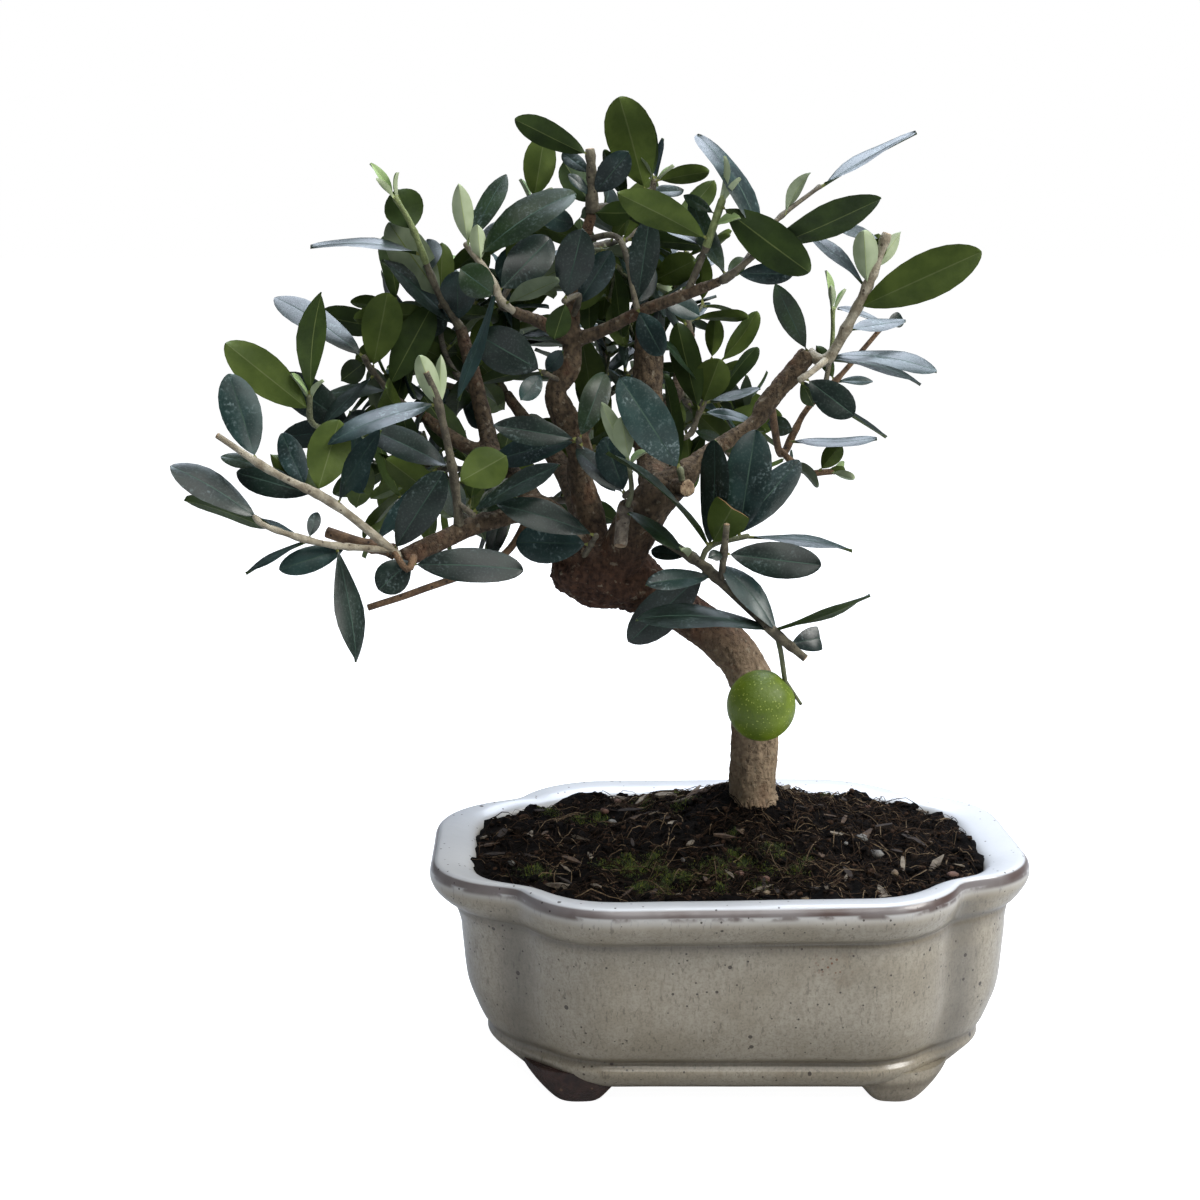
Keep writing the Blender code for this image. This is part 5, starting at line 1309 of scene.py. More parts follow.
def lumpy_tube(name, points, radii, sides):
    """Tube with the same low lumps as the solid limb."""
    deal = random.Random(len(name))
    phases = [deal.uniform(0, math.tau) for _ in range(2)]
    lumps = TRUNK_LUMPS if name == "trunk" else BOUGH_LUMPS
    verts = []
    run = 0.0
    for k, (_tangent, side, over) in enumerate(frames_along(points)):
        point = points[k]
        radius = radii[k]
        run += (point - points[k - 1]).length if k else 0.0
        for j in range(sides):
            angle = math.tau * j / sides
            lump = (0.55 * math.sin(2 * angle + run * 0.19 + phases[0])
                    + 0.45 * math.sin(3 * angle - run * 0.31 + phases[1]))
            reach = radius * (1 + lumps * lump)
            verts.append(point + (side * math.cos(angle) + over * math.sin(angle)) * reach)
    _verts, faces = closed_tube(points, radii, sides, round_end=False)
    return verts, faces


def fused_limbs(lines):
    """All limbs in one skin, softened where they join."""
    limbs = Bin()
    for name, (points, radii) in lines.items():
        limbs.add(*lumpy_tube(name, points, radii, 20))
        if name == "trunk":
            ahead = (points[-1] - points[-2]).normalized()
            end = [points[-1], points[-1] + ahead * radii[-1] * 0.5,
                   points[-1] + ahead * radii[-1] * 0.8]
            limbs.add(*closed_tube(end, [radii[-1], radii[-1] * 0.8, radii[-1] * 0.4], 20,
                                   round_end=False))
    for run, heading, climb, radius, lift in BURL_KNOBS:
        middle = place_on(lines["trunk"][0], run) + direction(heading, climb) * lift
        limbs.add(*ball_shape(middle, (radius, radius, radius * 0.9), 16, 9))
    piece = limbs.piece("limb_bark", [])
    skin = piece.modifiers.new("skin", "REMESH")
    skin.mode = "VOXEL"
    skin.voxel_size = BARK_VOXEL * MM
    soft = piece.modifiers.new("soft", "SMOOTH")
    soft.factor = 0.5
    soft.iterations = 4
    done = piece.evaluated_get(bpy.context.evaluated_depsgraph_get())
    mesh = bpy.data.meshes.new_from_object(done)
    rough = piece.data
    piece.modifiers.clear()
    piece.data = mesh
    bpy.data.meshes.remove(rough)
    return piece


# columns of the places along the limbs; the last one keeps one limb's bark from another's
PLACE, AHEAD, ASIDE, OVER = (slice(first, first + 3) for first in (0, 3, 6, 9))
RUN, RADIUS, ROUGH, SHIFT = range(12, 16)


def limb_samples(lines):
    """Rows for places along every limb, in the order of the columns named above."""
    rows = []
    for name, (points, radii) in lines.items():
        run = 0.0
        for k, frame_here in enumerate(frames_along(points)):
            run += (points[k] - points[k - 1]).length if k else 0.0
            rough = ROUGHNESS.get(name, PLAIN_ROUGHNESS)
            if radii[k] > BURL_RADIUS:
                rough = BURL_ROUGHNESS
            rows.append((*points[k], *frame_here[0], *frame_here[1], *frame_here[2],
                         run, radii[k], rough, len(name) * 7.0))
    return np.array(rows)


def bark_relief(piece, lines):
    """Push the skin in and out: long fissures along each limb, and flakes between them."""
    mesh = piece.data
    count = len(mesh.vertices)
    place = np.empty(count * 3)
    mesh.vertices.foreach_get("co", place)
    place = (place.reshape(-1, 3) - np.array(HOME)) / MM
    normal = np.empty(count * 3)
    mesh.vertices.foreach_get("normal", normal)
    normal = normal.reshape(-1, 3)
    rows = limb_samples(lines)
    nearest = np.empty(count, int)
    batch = 4000
    for first in range(0, count, batch):
        part = place[first:first + batch]
        apart = np.linalg.norm(part[:, None, :] - rows[None, :, PLACE], axis=2)
        fair = apart / (rows[None, :, RADIUS] + 1.0) ** 0.5
        nearest[first:first + batch] = fair.argmin(axis=1)
    at = rows[nearest]
    away = place - at[:, PLACE]
    across = (away * at[:, ASIDE]).sum(axis=1)
    over = (away * at[:, OVER]).sum(axis=1)
    along = (away * at[:, AHEAD]).sum(axis=1) + at[:, RUN]
    shift = np.empty(count)
    for k in range(count):
        spot = Vector((across[k], over[k], along[k] * FISSURE_STRETCH + at[k, SHIFT]))
        fissure = abs(noise.noise(spot * FISSURES_PER_MM))
        spot = Vector((across[k], over[k], along[k] * FLAKE_STRETCH))
        flake = noise.noise(spot * FLAKES_PER_MM)
        shift[k] = (fissure * 2.2 - 0.5) * BARK_FISSURE + flake * BARK_FLAKE
    shift *= at[:, ROUGH]
    moved = place + normal * shift[:, None]
    mesh.vertices.foreach_set("co", (moved * MM + np.array(HOME)).ravel())
    mesh.update()


def paint_cut_ends(piece, lines, number):
    """Sawn ends show bare wood, which is the finish of that number."""
    ends = []
    for name in SAWN_ENDS:
        points, radii = lines[name]
        ends.append((points[-1], (points[-1] - points[-2]).normalized(), radii[-1]))
    for poly in piece.data.polygons:
        middle = (poly.center - HOME) / MM
        for end, ahead, radius in ends:
            near = (middle - end).length < radius * CUT_REACH
            if near and poly.normal.dot(ahead) > CUT_FACING:
                poly.material_index = number


def paint_stub(piece, line, number):
    """The outer half of the dead stub wears weathered bark, the finish of that number."""
    points, radii = line
    start = place_on(points, STUB_FROM)
    run = points[-1] - start
    for face in piece.data.polygons:
        spot = (face.center - HOME) / MM - start
        share = spot.dot(run) / run.length_squared
        apart = (spot - run * share).length
        on_stub = 0.0 < share < STUB_PAST and apart < radii[-1] + STUB_SLACK
        if face.material_index == 0 and on_stub:
            face.material_index = number


def make_bark(lines, bark, cut_wood, grey_bark):
    """All limbs in one piece, for the trunk, boughs, arms and stubs."""
    piece = fused_limbs(lines)
    bark_relief(piece, lines)
    for finish in (bark, cut_wood, grey_bark):
        piece.data.materials.append(finish)
    paint_cut_ends(piece, lines, 1)
    paint_stub(piece, lines["stub_grey"], 2)
    piece.data.polygons.foreach_set("use_smooth", [True] * len(piece.data.polygons))
    return place_piece(piece, "bark", *[row[0] for row in LIMBS])


# ---- twigs ----
def twig_finish(name):
    """Which bark a twig wears: the one named for it, or young on side twigs and grey."""
    for finish, names in TWIG_COLOURS:
        if name in names:
            return finish
    return YOUNG_TWIG if " side " in name else GREY_TWIG


def make_twigs(stems, leaves, finishes, masses):
    """All twigs in one piece, each a little swollen where its leaves stand."""
    twigs = Bin()
    joints = {}
    for _base, _axis, _face, row, name in leaves:
        joints.setdefault(name, []).append(row[0])
    for name, _mass, corners, radii, tip in stems:
        points, thick = smooth_path(corners, radii, TWIG_RING_STEP)
        length = sum((b - a).length for a, b in zip(points, points[1:]))
        swollen = []
        for k, radius in enumerate(thick):
            share = k / (len(thick) - 1)
            swell = sum(math.exp(-((share - s) * length / 1.1) ** 2) for s in joints.get(name, ()))
            swollen.append(radius * (1 + TWIG_JOINT * min(swell, 1.0)))
        finish = twig_finish(name)
        verts, faces = closed_tube(points, swollen, 8, round_end=tip != "cut")
        colours = [finish] * len(faces)
        if tip == "cut":
            colours[-1] = CUT_TWIG
        if tip == "sprout":
            green = int((len(points) - 1) * 0.55) * 8
            colours[green:] = [GREEN_TWIG] * (len(faces) - green)
        twigs.add(verts, faces, colours)
    piece = twigs.piece("twigs", finishes, outward=True)
    return place_piece(piece, "olive_foliage", *masses)


# ---- leaves ----
def blade_width(share, slim):
    """Half width of a blade at a share of its length, as a share of the greatest."""
    if share <= 0 or share >= 1:
        return 0.0
    base, tip = SLIM_BLADE if slim else FULL_BLADE
    widest = base / (base + tip)
    return (share / widest) ** base * ((1 - share) / (1 - widest)) ** tip


def blade_rise(s, half, fold, wave):
    """Height over the rib at a share of the half width, from -1 at one edge to 1."""
    return abs(s) * half * fold - s * s * s * s * half * EDGE_CURL + wave * s


def leaf_mesh(base, axis, face, row, deal):
    """One leaf: vertices, faces and a part number for each face."""
    _share, _axis, _face, length, width, bend, kind = row
    side = axis.cross(face).normalized()
    face = side.cross(axis).normalized()
    slim = width < length * SLIM_LEAF
    arch = deal.uniform(-0.05, 0.07)
    twist = math.radians(deal.uniform(-16, 16))
    fold = deal.uniform(*LEAF_FOLD) if kind != PALE else NEW_FOLD
    hook = deal.uniform(-0.02, 0.05)
    stalk = min(LEAF_STALK, length * 0.12)
    blade = length - stalk
    last = 1.0
    if kind == CLIPPED:
        blade, last = blade / CLIPPED_SHARE, CLIPPED_SHARE
    verts = []
    rows = [(s, True) for s in STALK_STATIONS] + [(s * last, False) for s in BLADE_STATIONS]
    for share, in_stalk in rows:
        run = stalk * share if in_stalk else stalk + blade * share
        t = run / length
        half = STALK_HALF if in_stalk else max(width / 2 * blade_width(share, slim), 0.12)
        lift = (arch * math.sin(math.pi * min(t, 1)) - bend * t * t - hook * t ** 6) * length
        turn = Matrix.Rotation(twist * t, 3, axis)
        out = turn @ side
        up = turn @ face
        rib = base + axis * run + face * lift
        wave = 0.0 if in_stalk else LEAF_WAVE * width * math.sin(9 * t + twist * 40)
        deep = STALK_HALF if in_stalk else LEAF_DEEP
        groove = 0.0 if in_stalk else RIB_GROOVE
        for s in (-1, -BLADE_MID, -RIB_HALF, RIB_HALF, BLADE_MID, 1):
            rise = blade_rise(s, half, fold, wave) - (groove if abs(s) == RIB_HALF else 0.0)
            verts.append(rib + out * (s * half) + up * rise)
        for s in (-BLADE_MID, -RIB_HALF, RIB_HALF, BLADE_MID):
            drop = deep * (RIB_SWELL if abs(s) == RIB_HALF else 1.0)
            verts.append(rib + out * (s * half) + up * (blade_rise(s, half, fold, wave) - drop))
    return verts, *leaf_faces(len(rows))


def leaf_faces(count):
    """Faces of a leaf of so many rows, and the part of the leaf that each belongs to."""
    faces = []
    parts = []
    top = (0, 1, 2, 3, 4, 5)
    under = (0, 6, 7, 8, 9, 5)
    in_stalk = len(STALK_STATIONS)
    for k in range(count - 1):
        a = k * LEAF_ROW
        b = a + LEAF_ROW
        for j in range(5):
            part = RIB_TOP if j == 2 else BLADE_TOP
            faces.append((a + top[j], b + top[j], b + top[j + 1], a + top[j + 1]))
            parts.append(STALK if k < in_stalk else part)
        for j in range(5):
            part = RIB_UNDER if j == 2 else BLADE_UNDER
            faces.append((a + under[j + 1], b + under[j + 1], b + under[j], a + under[j]))
            parts.append(STALK if k < in_stalk else part)
    ends = ((0, top, under), ((count - 1) * LEAF_ROW, under, top))
    for first, one, other in ends:
        faces.append(tuple(first + j for j in one) + tuple(first + j for j in other[-2:0:-1]))
        parts.append(STALK if first == 0 else LEAF_END)
    return faces, parts


def leaf_tints(deal, kind):
    """Finish of each part of a leaf: one for all new leaves, dealt out for the others."""
    if kind == PALE:
        return {BLADE_TOP: NEW_TOP, RIB_TOP: NEW_RIB, BLADE_UNDER: NEW_UNDER,
                RIB_UNDER: NEW_RIB, STALK: NEW_RIB, LEAF_END: NEW_TOP}
    top = deal.choices(TOP_TINTS, TOP_SHARES)[0]
    under = deal.choices(UNDER_TINTS, UNDER_SHARES)[0]
    end = CLIPPED_EDGE if kind == CLIPPED else top
    return {BLADE_TOP: top, RIB_TOP: TOP_RIB, BLADE_UNDER: under,
            RIB_UNDER: UNDER_RIB, STALK: LEAF_STEM, LEAF_END: end}


def make_leaves(leaves, finishes, masses):
    """All leaves in one piece."""
    deal = random.Random(71)
    foliage = Bin()
    for base, axis, face, row, _name in leaves:
        verts, faces, parts = leaf_mesh(base, axis, face, row, deal)
        tints = leaf_tints(deal, row[6])
        foliage.add(verts, faces, [tints[part] for part in parts])
    piece = foliage.piece("leaves", finishes, sharp=62, outward=False)
    return place_piece(piece, "olive_foliage", *masses)


# ---- olive ----
def ball_shape(middle, radii, sides, levels):
    """Ball with poles above and below: vertices and faces."""
    rings = []
    for k in range(1, levels):
        lean = math.pi * k / levels
        rings.append([middle + Vector((radii[0] * math.sin(lean) * math.cos(math.tau * j / sides),
                                       radii[1] * math.sin(lean) * math.sin(math.tau * j / sides),
                                       -radii[2] * math.cos(lean))) for j in range(sides)])
    return rings_mesh(rings)


def make_olive(stalk_end, finish):
    """The fruit: a full oval, a little dented where the stalk goes in."""
    run, heading, climb = OLIVE_DROP
    middle = stalk_end + direction(heading, climb) * run
    to_stalk = (stalk_end - middle).normalized()
    verts, faces = ball_shape(Vector(), (1, 1, 1), 56, 40)
    shaped = []
    for v in verts:
        aim = v.normalized()
        near = max(aim.dot(to_stalk), 0)
        reach = 1 - 0.05 * near ** 24 + 0.006 * noise.noise(aim * 2.2)
        shaped.append(middle + Vector((aim.x * OLIVE_RADII[0], aim.y * OLIVE_RADII[1],
                                       aim.z * OLIVE_RADII[2])) * reach)
    fruit = Bin()
    fruit.add(shaped, faces)
    piece = fruit.piece("olive_fruit", [finish], outward=True)
    return place_piece(piece, "olive_foliage", "foliage_lower_right")


# ---- finishes ----
def tone(red, green, blue):
    """Linear colour from everyday 0-255 values."""
    def linear(value):
        share = value / 255
        return share / 12.92 if share <= 0.04045 else ((share + 0.055) / 1.055) ** 2.4
    return (linear(red), linear(green), linear(blue), 1.0)


class Web:
    """A node tree, with short ways to add nodes to it."""

    clamped = False

    def __init__(self, tree):
        self.tree = tree

    def feed(self, value, socket):
        """Link an output to a socket, or set the socket to a plain value."""
        if isinstance(value, bpy.types.NodeSocket):
            self.tree.links.new(value, socket)
        else:
            socket.default_value = value

    def node(self, kind, feeds=None, **settings):
        """Add a node, set it up, and feed its inputs by name or number."""
        added = self.tree.nodes.new("ShaderNode" + kind)
        for label, value in settings.items():
            setattr(added, label, value)
        for label, value in (feeds or {}).items():
            self.feed(value, added.inputs[label])
        return added

    def maths(self, operation, first, second):
        added = self.node("Math", {0: first, 1: second}, operation=operation,
                          use_clamp=self.clamped)
        return added.outputs[0]

    def vectors(self, operation, first, second):
        """Outputs of a sum on vectors: Vector, and Value where it gives one."""
        return self.node("VectorMath", {0: first, 1: second}, operation=operation).outputs

    def as_seen(self, lit, seen):
        """Shader that the camera sees in one way and everything else in another."""
        by_camera = self.node("LightPath").outputs["Is Camera Ray"]
        blend = self.node("MixShader", {0: by_camera, 1: lit.outputs[0], 2: seen.outputs[0]})
        return blend.outputs[0]


# ---- shared effects ----
class Effect(Web):
    """A shared node group with named inputs, which puts out one mask."""

    def __init__(self, name, **inputs):
        super().__init__(bpy.data.node_groups.new(name, "ShaderNodeTree"))
        self.tree.interface.new_socket(name="Place", in_out="INPUT",
                                       socket_type="NodeSocketVector")
        for label, value in inputs.items():
            socket = self.tree.interface.new_socket(name=label.replace("_", " "),
                                                    in_out="INPUT",
                                                    socket_type="NodeSocketFloat")
            socket.default_value = value
        self.tree.interface.new_socket(name="Mask", in_out="OUTPUT",
                                       socket_type="NodeSocketFloat")
        self.given = self.tree.nodes.new("NodeGroupInput").outputs
        self.results = self.tree.nodes.new("NodeGroupOutput").inputs
        in_millimetres = {0: self.given["Place"], "Scale": 1 / MM}
        self.place = self.node("VectorMath", in_millimetres, operation="SCALE").outputs[0]

    def ramp(self, value, low, high):
        """Soft step from 0 at low to 1 at high."""
        feeds = {"Value": value, "From Min": low, "From Max": high}
        return self.node("MapRange", feeds, interpolation_type="SMOOTHSTEP").outputs["Result"]

    def done(self, mask):
        self.feed(mask, self.results["Mask"])
        return self.tree


def mottle_effect():
    """Soft clouds: Size is their width in millimetres, Low and High set how they spread."""
    effect = Effect("soft_mottle", Size=5.0, Low=0.4, High=0.6, Detail=3.0)
    given = effect.given
    cloud = effect.node("TexNoise", {"Vector": effect.place, "Detail": given["Detail"],
                                     "Scale": effect.maths("DIVIDE", 1.0, given["Size"])})
    return effect.done(effect.ramp(cloud.outputs[0], given["Low"], given["High"]))


def streak_effect():
    """Streaks that run up and down: Size is their width in millimetres."""
    effect = Effect("bark_streaks", Size=1.0, Low=0.4, High=0.6)
    given = effect.given
    drawn_out = effect.vectors("MULTIPLY", effect.place, (1.0, 1.0, STREAK_PINCH))["Vector"]
    lines = effect.node("TexNoise", {"Vector": drawn_out, "Detail": 5.0, "Roughness": 0.65,
                                     "Scale": effect.maths("DIVIDE", 1.0, given["Size"])})
    return effect.done(effect.ramp(lines.outputs[0], given["Low"], given["High"]))


def speck_effect():
    """Round specks: Spacing and Size in millimetres, Share is how many of them show."""
    effect = Effect("small_specks", Spacing=3.0, Size=0.4, Share=0.5)
    given = effect.given
    cells = effect.node("TexVoronoi", {"Vector": effect.place,
                                       "Scale": effect.maths("DIVIDE", 1.0, given["Spacing"])})
    apart = effect.maths("MULTIPLY", cells.outputs["Distance"], given["Spacing"])
    near = effect.maths("LESS_THAN", apart, given["Size"])
    chance = effect.node("SeparateColor", {0: cells.outputs["Color"]}).outputs[0]
    chosen = effect.maths("LESS_THAN", chance, given["Share"])
    return effect.done(effect.maths("MULTIPLY", near, chosen))


def height_effect():
    """Band by height above the ground: rises to 1 from Start to Full, in millimetres."""
    effect = Effect("height_band", Start=0.0, Full=10.0)
    height = effect.node("SeparateXYZ", {0: effect.place}).outputs["Z"]
    return effect.done(effect.ramp(height, effect.given["Start"], effect.given["Full"]))


def upright_effect():
    """Soft band round an upright line: 1 at the line and 0 at Reach, in millimetres."""
    effect = Effect("near_upright", Middle_X=0.0, Middle_Y=0.0, Reach=5.0)
    given = effect.given
    flat = effect.vectors("MULTIPLY", effect.place, (1.0, 1.0, 0.0))["Vector"]
    middle = effect.node("CombineXYZ", {"X": given["Middle X"], "Y": given["Middle Y"]})
    apart = effect.vectors("DISTANCE", flat, middle.outputs[0])["Value"]
    share = effect.maths("DIVIDE", apart, given["Reach"])
    return effect.done(effect.ramp(share, 1.0, 0.1))


def make_effects():
    return {"mottle": mottle_effect(), "streaks": streak_effect(), "specks": speck_effect(),
            "height": height_effect(), "upright": upright_effect()}


# ---- materials ----
class Finish(Web):
    """A material on its surface shader, with a colour built up in coats."""

    clamped = True              # its masks stay between 0 and 1

    def __init__(self, name, effects, roughness, bump_depth=0.0, **surface):
        self.material = bpy.data.materials.new(name)
        self.material.use_nodes = True
        super().__init__(self.material.node_tree)
        self.surface = self.tree.nodes["Principled BSDF"]
        self.wear(Roughness=roughness, **surface)
        self.effects = effects
        self.bump_depth = bump_depth
        self.coords = self.node("TexCoord").outputs["Object"]
        self.coat = None

    def wear(self, **values):
        for label, value in values.items():
            self.feed(value, self.surface.inputs[label.replace("_", " ")])

    def effect(self, name, **values):
        """Mask of a shared effect, fed with the object's own coordinates."""
        feeds = {label.replace("_", " "): value for label, value in values.items()}
        feeds["Place"] = self.coords
        return self.node("Group", feeds, node_tree=self.effects[name]).outputs["Mask"]

    def clouds(self, size, low, high, detail=3.0):
        return self.effect("mottle", Size=size, Low=low, High=high, Detail=detail)

    def streaks(self, size, low, high):
        return self.effect("streaks", Size=size, Low=low, High=high)

    def specks(self, spacing, size, share):
        return self.effect("specks", Spacing=spacing, Size=size, Share=share)

    def band(self, start, full):
        return self.effect("height", Start=start, Full=full)

    def pool(self, low, middle, high):
        """1 at the middle height, 0 below the low one and above the high one."""
        return self.times(self.band(low, middle), self.band(high, middle))

    def near_spot(self, along, back, reach):
        """Soft band round an upright line, given along the pot's own length and depth."""
        spot = HOME / MM + pot_spot(along, back, 0)
        return self.effect("upright", Middle_X=spot.x, Middle_Y=spot.y, Reach=reach)

    def times(self, mask, *others):
        """Masks and shares multiplied with each other."""
        for other in others:
            mask = self.maths("MULTIPLY", mask, other)
        return mask

    def scaled(self, mask, low, high):
        """Value that goes from low to high as the mask goes from 0 to 1."""
        feeds = {"Value": mask, "To Min": low, "To Max": high}
        return self.node("MapRange", feeds).outputs["Result"]

    def mix(self, mask, first, second):
        """Colour that goes from first to second as the mask goes from 0 to 1."""
        return self.node("Mix", {0: mask, 6: first, 7: second}, data_type="RGBA").outputs[2]

    def mix_tones(self, mask, first, second):
        return self.mix(mask, tone(*first), tone(*second))

    def lay(self, colour, *masks):
        """Lay a colour over the coats so far, where and as strongly as the masks say."""
        self.coat = self.mix(self.times(*masks), self.coat, tone(*colour))

    def done(self, roughness, height):
        """Put on the coats, the roughness and the fine relief, and give the material."""
        relief = self.node("Bump", {"Strength": 1.0, "Distance": self.bump_depth * MM,
                                    "Height": height})
        self.wear(Base_Color=self.coat, Roughness=roughness, Normal=relief.outputs["Normal"])
        return self.material


def lip_edge(finish):
    """1 where a surface faces out from the pot's middle, 0 inside the lip."""
    from_middle = finish.vectors("SUBTRACT", finish.coords, (HOME.x, HOME.y, 0.0))["Vector"]
    flat = finish.vectors("MULTIPLY", from_middle, (1 / MM, 1 / MM, 0.0))["Vector"]
    normal = finish.node("NewGeometry").outputs["Normal"]
    facing = finish.vectors("DOT_PRODUCT", flat, normal)["Value"]
    return finish.maths("GREATER_THAN", facing, LIP_EDGE_REACH)


def cream_glaze(effects):
    """Warm grey-cream glaze: pale on the lip, partly painted highlight, with a brown line, pits,
    dashes, stains, painted shade in its hollows and notches, darker low down.
    """
    glaze = Finish("cream_glaze", effects, 0.32, 0.05, Coat_Weight=0.25, Coat_Roughness=0.12)
    wall = glaze.band(*WALL_BAND)
    clouds = glaze.clouds(16.0, 0.35, 0.68)
    glaze.coat = glaze.mix_tones(clouds, (168, 160, 144), (152, 143, 125))
    fine = glaze.clouds(1.4, 0.35, 0.8, 5.0)
    glaze.lay((128, 120, 103), fine, 0.3, wall)
    stain = glaze.clouds(8.0, 0.64, 0.78, 6.0)
    glaze.lay((112, 92, 70), stain, 0.35)
    dashes = glaze.streaks(0.8, 0.58, 0.64)
    glaze.lay((84, 77, 66), dashes, 0.5)
    grain = glaze.clouds(0.55, 0.42, 0.7, 4.0)
    glaze.lay((98, 91, 78), grain, 0.34, wall)
    drips = glaze.streaks(1.1, 0.4, 0.75)
    glaze.lay((104, 94, 78), drips, 0.3, wall)
    # pooled glaze and painted shade: darker bands in the hollow under the lip, the groove over the
    # base and low down
    for heights in POOLED_GLAZE_AND_SHADE_BANDS:
        glaze.lay((86, 78, 64), glaze.pool(*heights), 0.55)
    # painted shade round the four notches, partly glaze pooled there
    for side in (-1, 1):
        for end in (-1, 1):
            notch_shade = glaze.near_spot(end * NOTCH_SHADE_SPOT[0], side * NOTCH_SHADE_SPOT[1], NOTCH_SHADE_REACH)
            glaze.lay((92, 88, 80), notch_shade, 0.6, wall)
    rust = glaze.specks(0.95, 0.3, 0.6)
    glaze.lay((112, 70, 44), rust, glaze.near_spot(*RUST_SPOT), glaze.pool(*RUST_HEIGHTS))
    # pale lip: partly paler glaze, partly a painted cool highlight
    glaze.lay((204, 207, 211), glaze.band(*PALE_LIP_AND_HIGHLIGHT_BAND), 0.85)
    broken = glaze.times(glaze.band(*LINE_LOW_BAND), glaze.clouds(9.0, 0.46, 0.58, 6.0))
    above = glaze.maths("MAXIMUM", glaze.band(*LINE_BAND), broken)
    glaze.lay((70, 48, 40), above, glaze.band(*LINE_TOP_BAND), lip_edge(glaze),
              glaze.scaled(clouds, 0.95, 0.7))
    pinholes = glaze.specks(2.4, 0.27, 0.7)
    dots = glaze.specks(7.0, 0.6, 0.8)
    marks = glaze.maths("MAXIMUM", pinholes, dots)
    glaze.lay((50, 40, 34), marks, 0.85)
    # darker towards the bottom, in the stain clouds
    glaze.lay((84, 72, 60), glaze.band(*LOW_DARK_BAND), glaze.scaled(stain, 0.3, 0.8))
    ripple = glaze.times(glaze.clouds(3.4, 0.2, 0.8, 1.0), 0.6)
    dents = glaze.times(marks, 0.25)
    return glaze.done(glaze.scaled(fine, 0.3, 0.36), glaze.maths("SUBTRACT", ripple, dents))


def small_finish(effects, name, tones, size, roughness, depth=0.15, shine=0.5):
    """Two tones in clouds, with small specks of a third tone where one is given."""
    finish = Finish(name, effects, roughness, depth, Specular_IOR_Level=shine)
    clouds = finish.clouds(size, 0.35, 0.65, 4.0)
    finish.coat = finish.mix_tones(clouds, *tones[:2])
    for speck_tone in tones[2:]:
        finish.lay(speck_tone, finish.specks(size * 0.8, size * 0.14, 0.5))
    fine = finish.clouds(size * 0.22, 0.2, 0.8, 4.0)
    rough = finish.scaled(fine, roughness - 0.08, min(roughness + 0.08, 1.0))
    return finish.done(rough, fine)


def bark_finish(effects):
    """Beige-brown at the foot, dark and rusty over the burl, darkened there with painted shade,
    brown on the boughs.
    """
    bark = Finish("tree_bark", effects, 0.88, 0.3, Specular_IOR_Level=0.25)
    streaks = bark.streaks(1.3, 0.28, 0.76)
    mottle = bark.clouds(1.3, 0.28, 0.74, 9.0)
    rough = bark.maths("ADD", bark.times(streaks, 0.4), bark.times(mottle, 0.6))
    foot = bark.mix_tones(rough, (124, 106, 86), (172, 152, 126))
    # the burl's tones reach down from its own dark bark into painted shade under the crown
    burl_and_shade = bark.mix_tones(rough, (40, 27, 22), (88, 63, 48))
    boughs = bark.mix_tones(rough, (54, 46, 38), (110, 94, 74))
    bark.coat = bark.mix(bark.band(*BURL_AND_SHADE_BAND), foot, burl_and_shade)
    bark.coat = bark.mix(bark.band(*BOUGH_BAND), bark.coat, boughs)
    patches = bark.clouds(6.5, 0.54, 0.68, 5.0)
    bark.lay((98, 66, 48), patches, 0.4)
    lichen = bark.clouds(2.2, 0.6, 0.68, 9.0)
    bark.lay((152, 142, 122), lichen, 0.45)
    cracks = bark.streaks(0.45, 0.6, 0.66)
    bark.lay((34, 26, 21), cracks, 0.6)
    pores = bark.specks(1.6, 0.22, 0.3)
    bark.lay((34, 26, 20), pores, 0.6)
    fine = bark.clouds(0.7, 0.25, 0.75, 5.0)
    height = bark.maths("SUBTRACT", bark.maths("ADD", rough, fine), cracks)
    return bark.done(bark.scaled(streaks, 0.95, 0.78), height)


def waxy_leaf(effects, name, deep, light, dust):
    """Upper face of a leaf: clouded green with a cool shine and a little dust."""
    blade = Finish(name, effects, 0.42, 0.05, Sheen_Weight=0.03, Sheen_Roughness=0.4,
                   Sheen_Tint=tone(200, 216, 226), Coat_Weight=0.08, Coat_Roughness=0.32,
                   Specular_IOR_Level=0.45)
    clouds = blade.clouds(7.0, 0.35, 0.7, 2.0)
    blade.coat = blade.mix_tones(clouds, deep, light)
    grain = blade.clouds(0.5, 0.5, 0.75)
    blade.lay((128, 146, 140), grain, 0.12)
    dusty = blade.clouds(0.8, 0.5, 0.74, 8.0)
    patches = blade.clouds(9.0, 0.5, 0.66)
    blade.lay((150, 170, 170), dusty, patches, dust)
    return blade.done(blade.scaled(grain, 0.36, 0.52), clouds)


def matt_leaf(effects, name, deep, light):
    """Matt parts of a leaf: its underside, ribs, stalk and new growth."""
    under = Finish(name, effects, 0.62, 0.05, Specular_IOR_Level=0.25)
    clouds = under.clouds(6.0, 0.3, 0.7)
    under.coat = under.mix_tones(clouds, deep, light)
    fine = under.clouds(0.6, 0.3, 0.7)
    return under.done(under.scaled(fine, 0.55, 0.7), clouds)


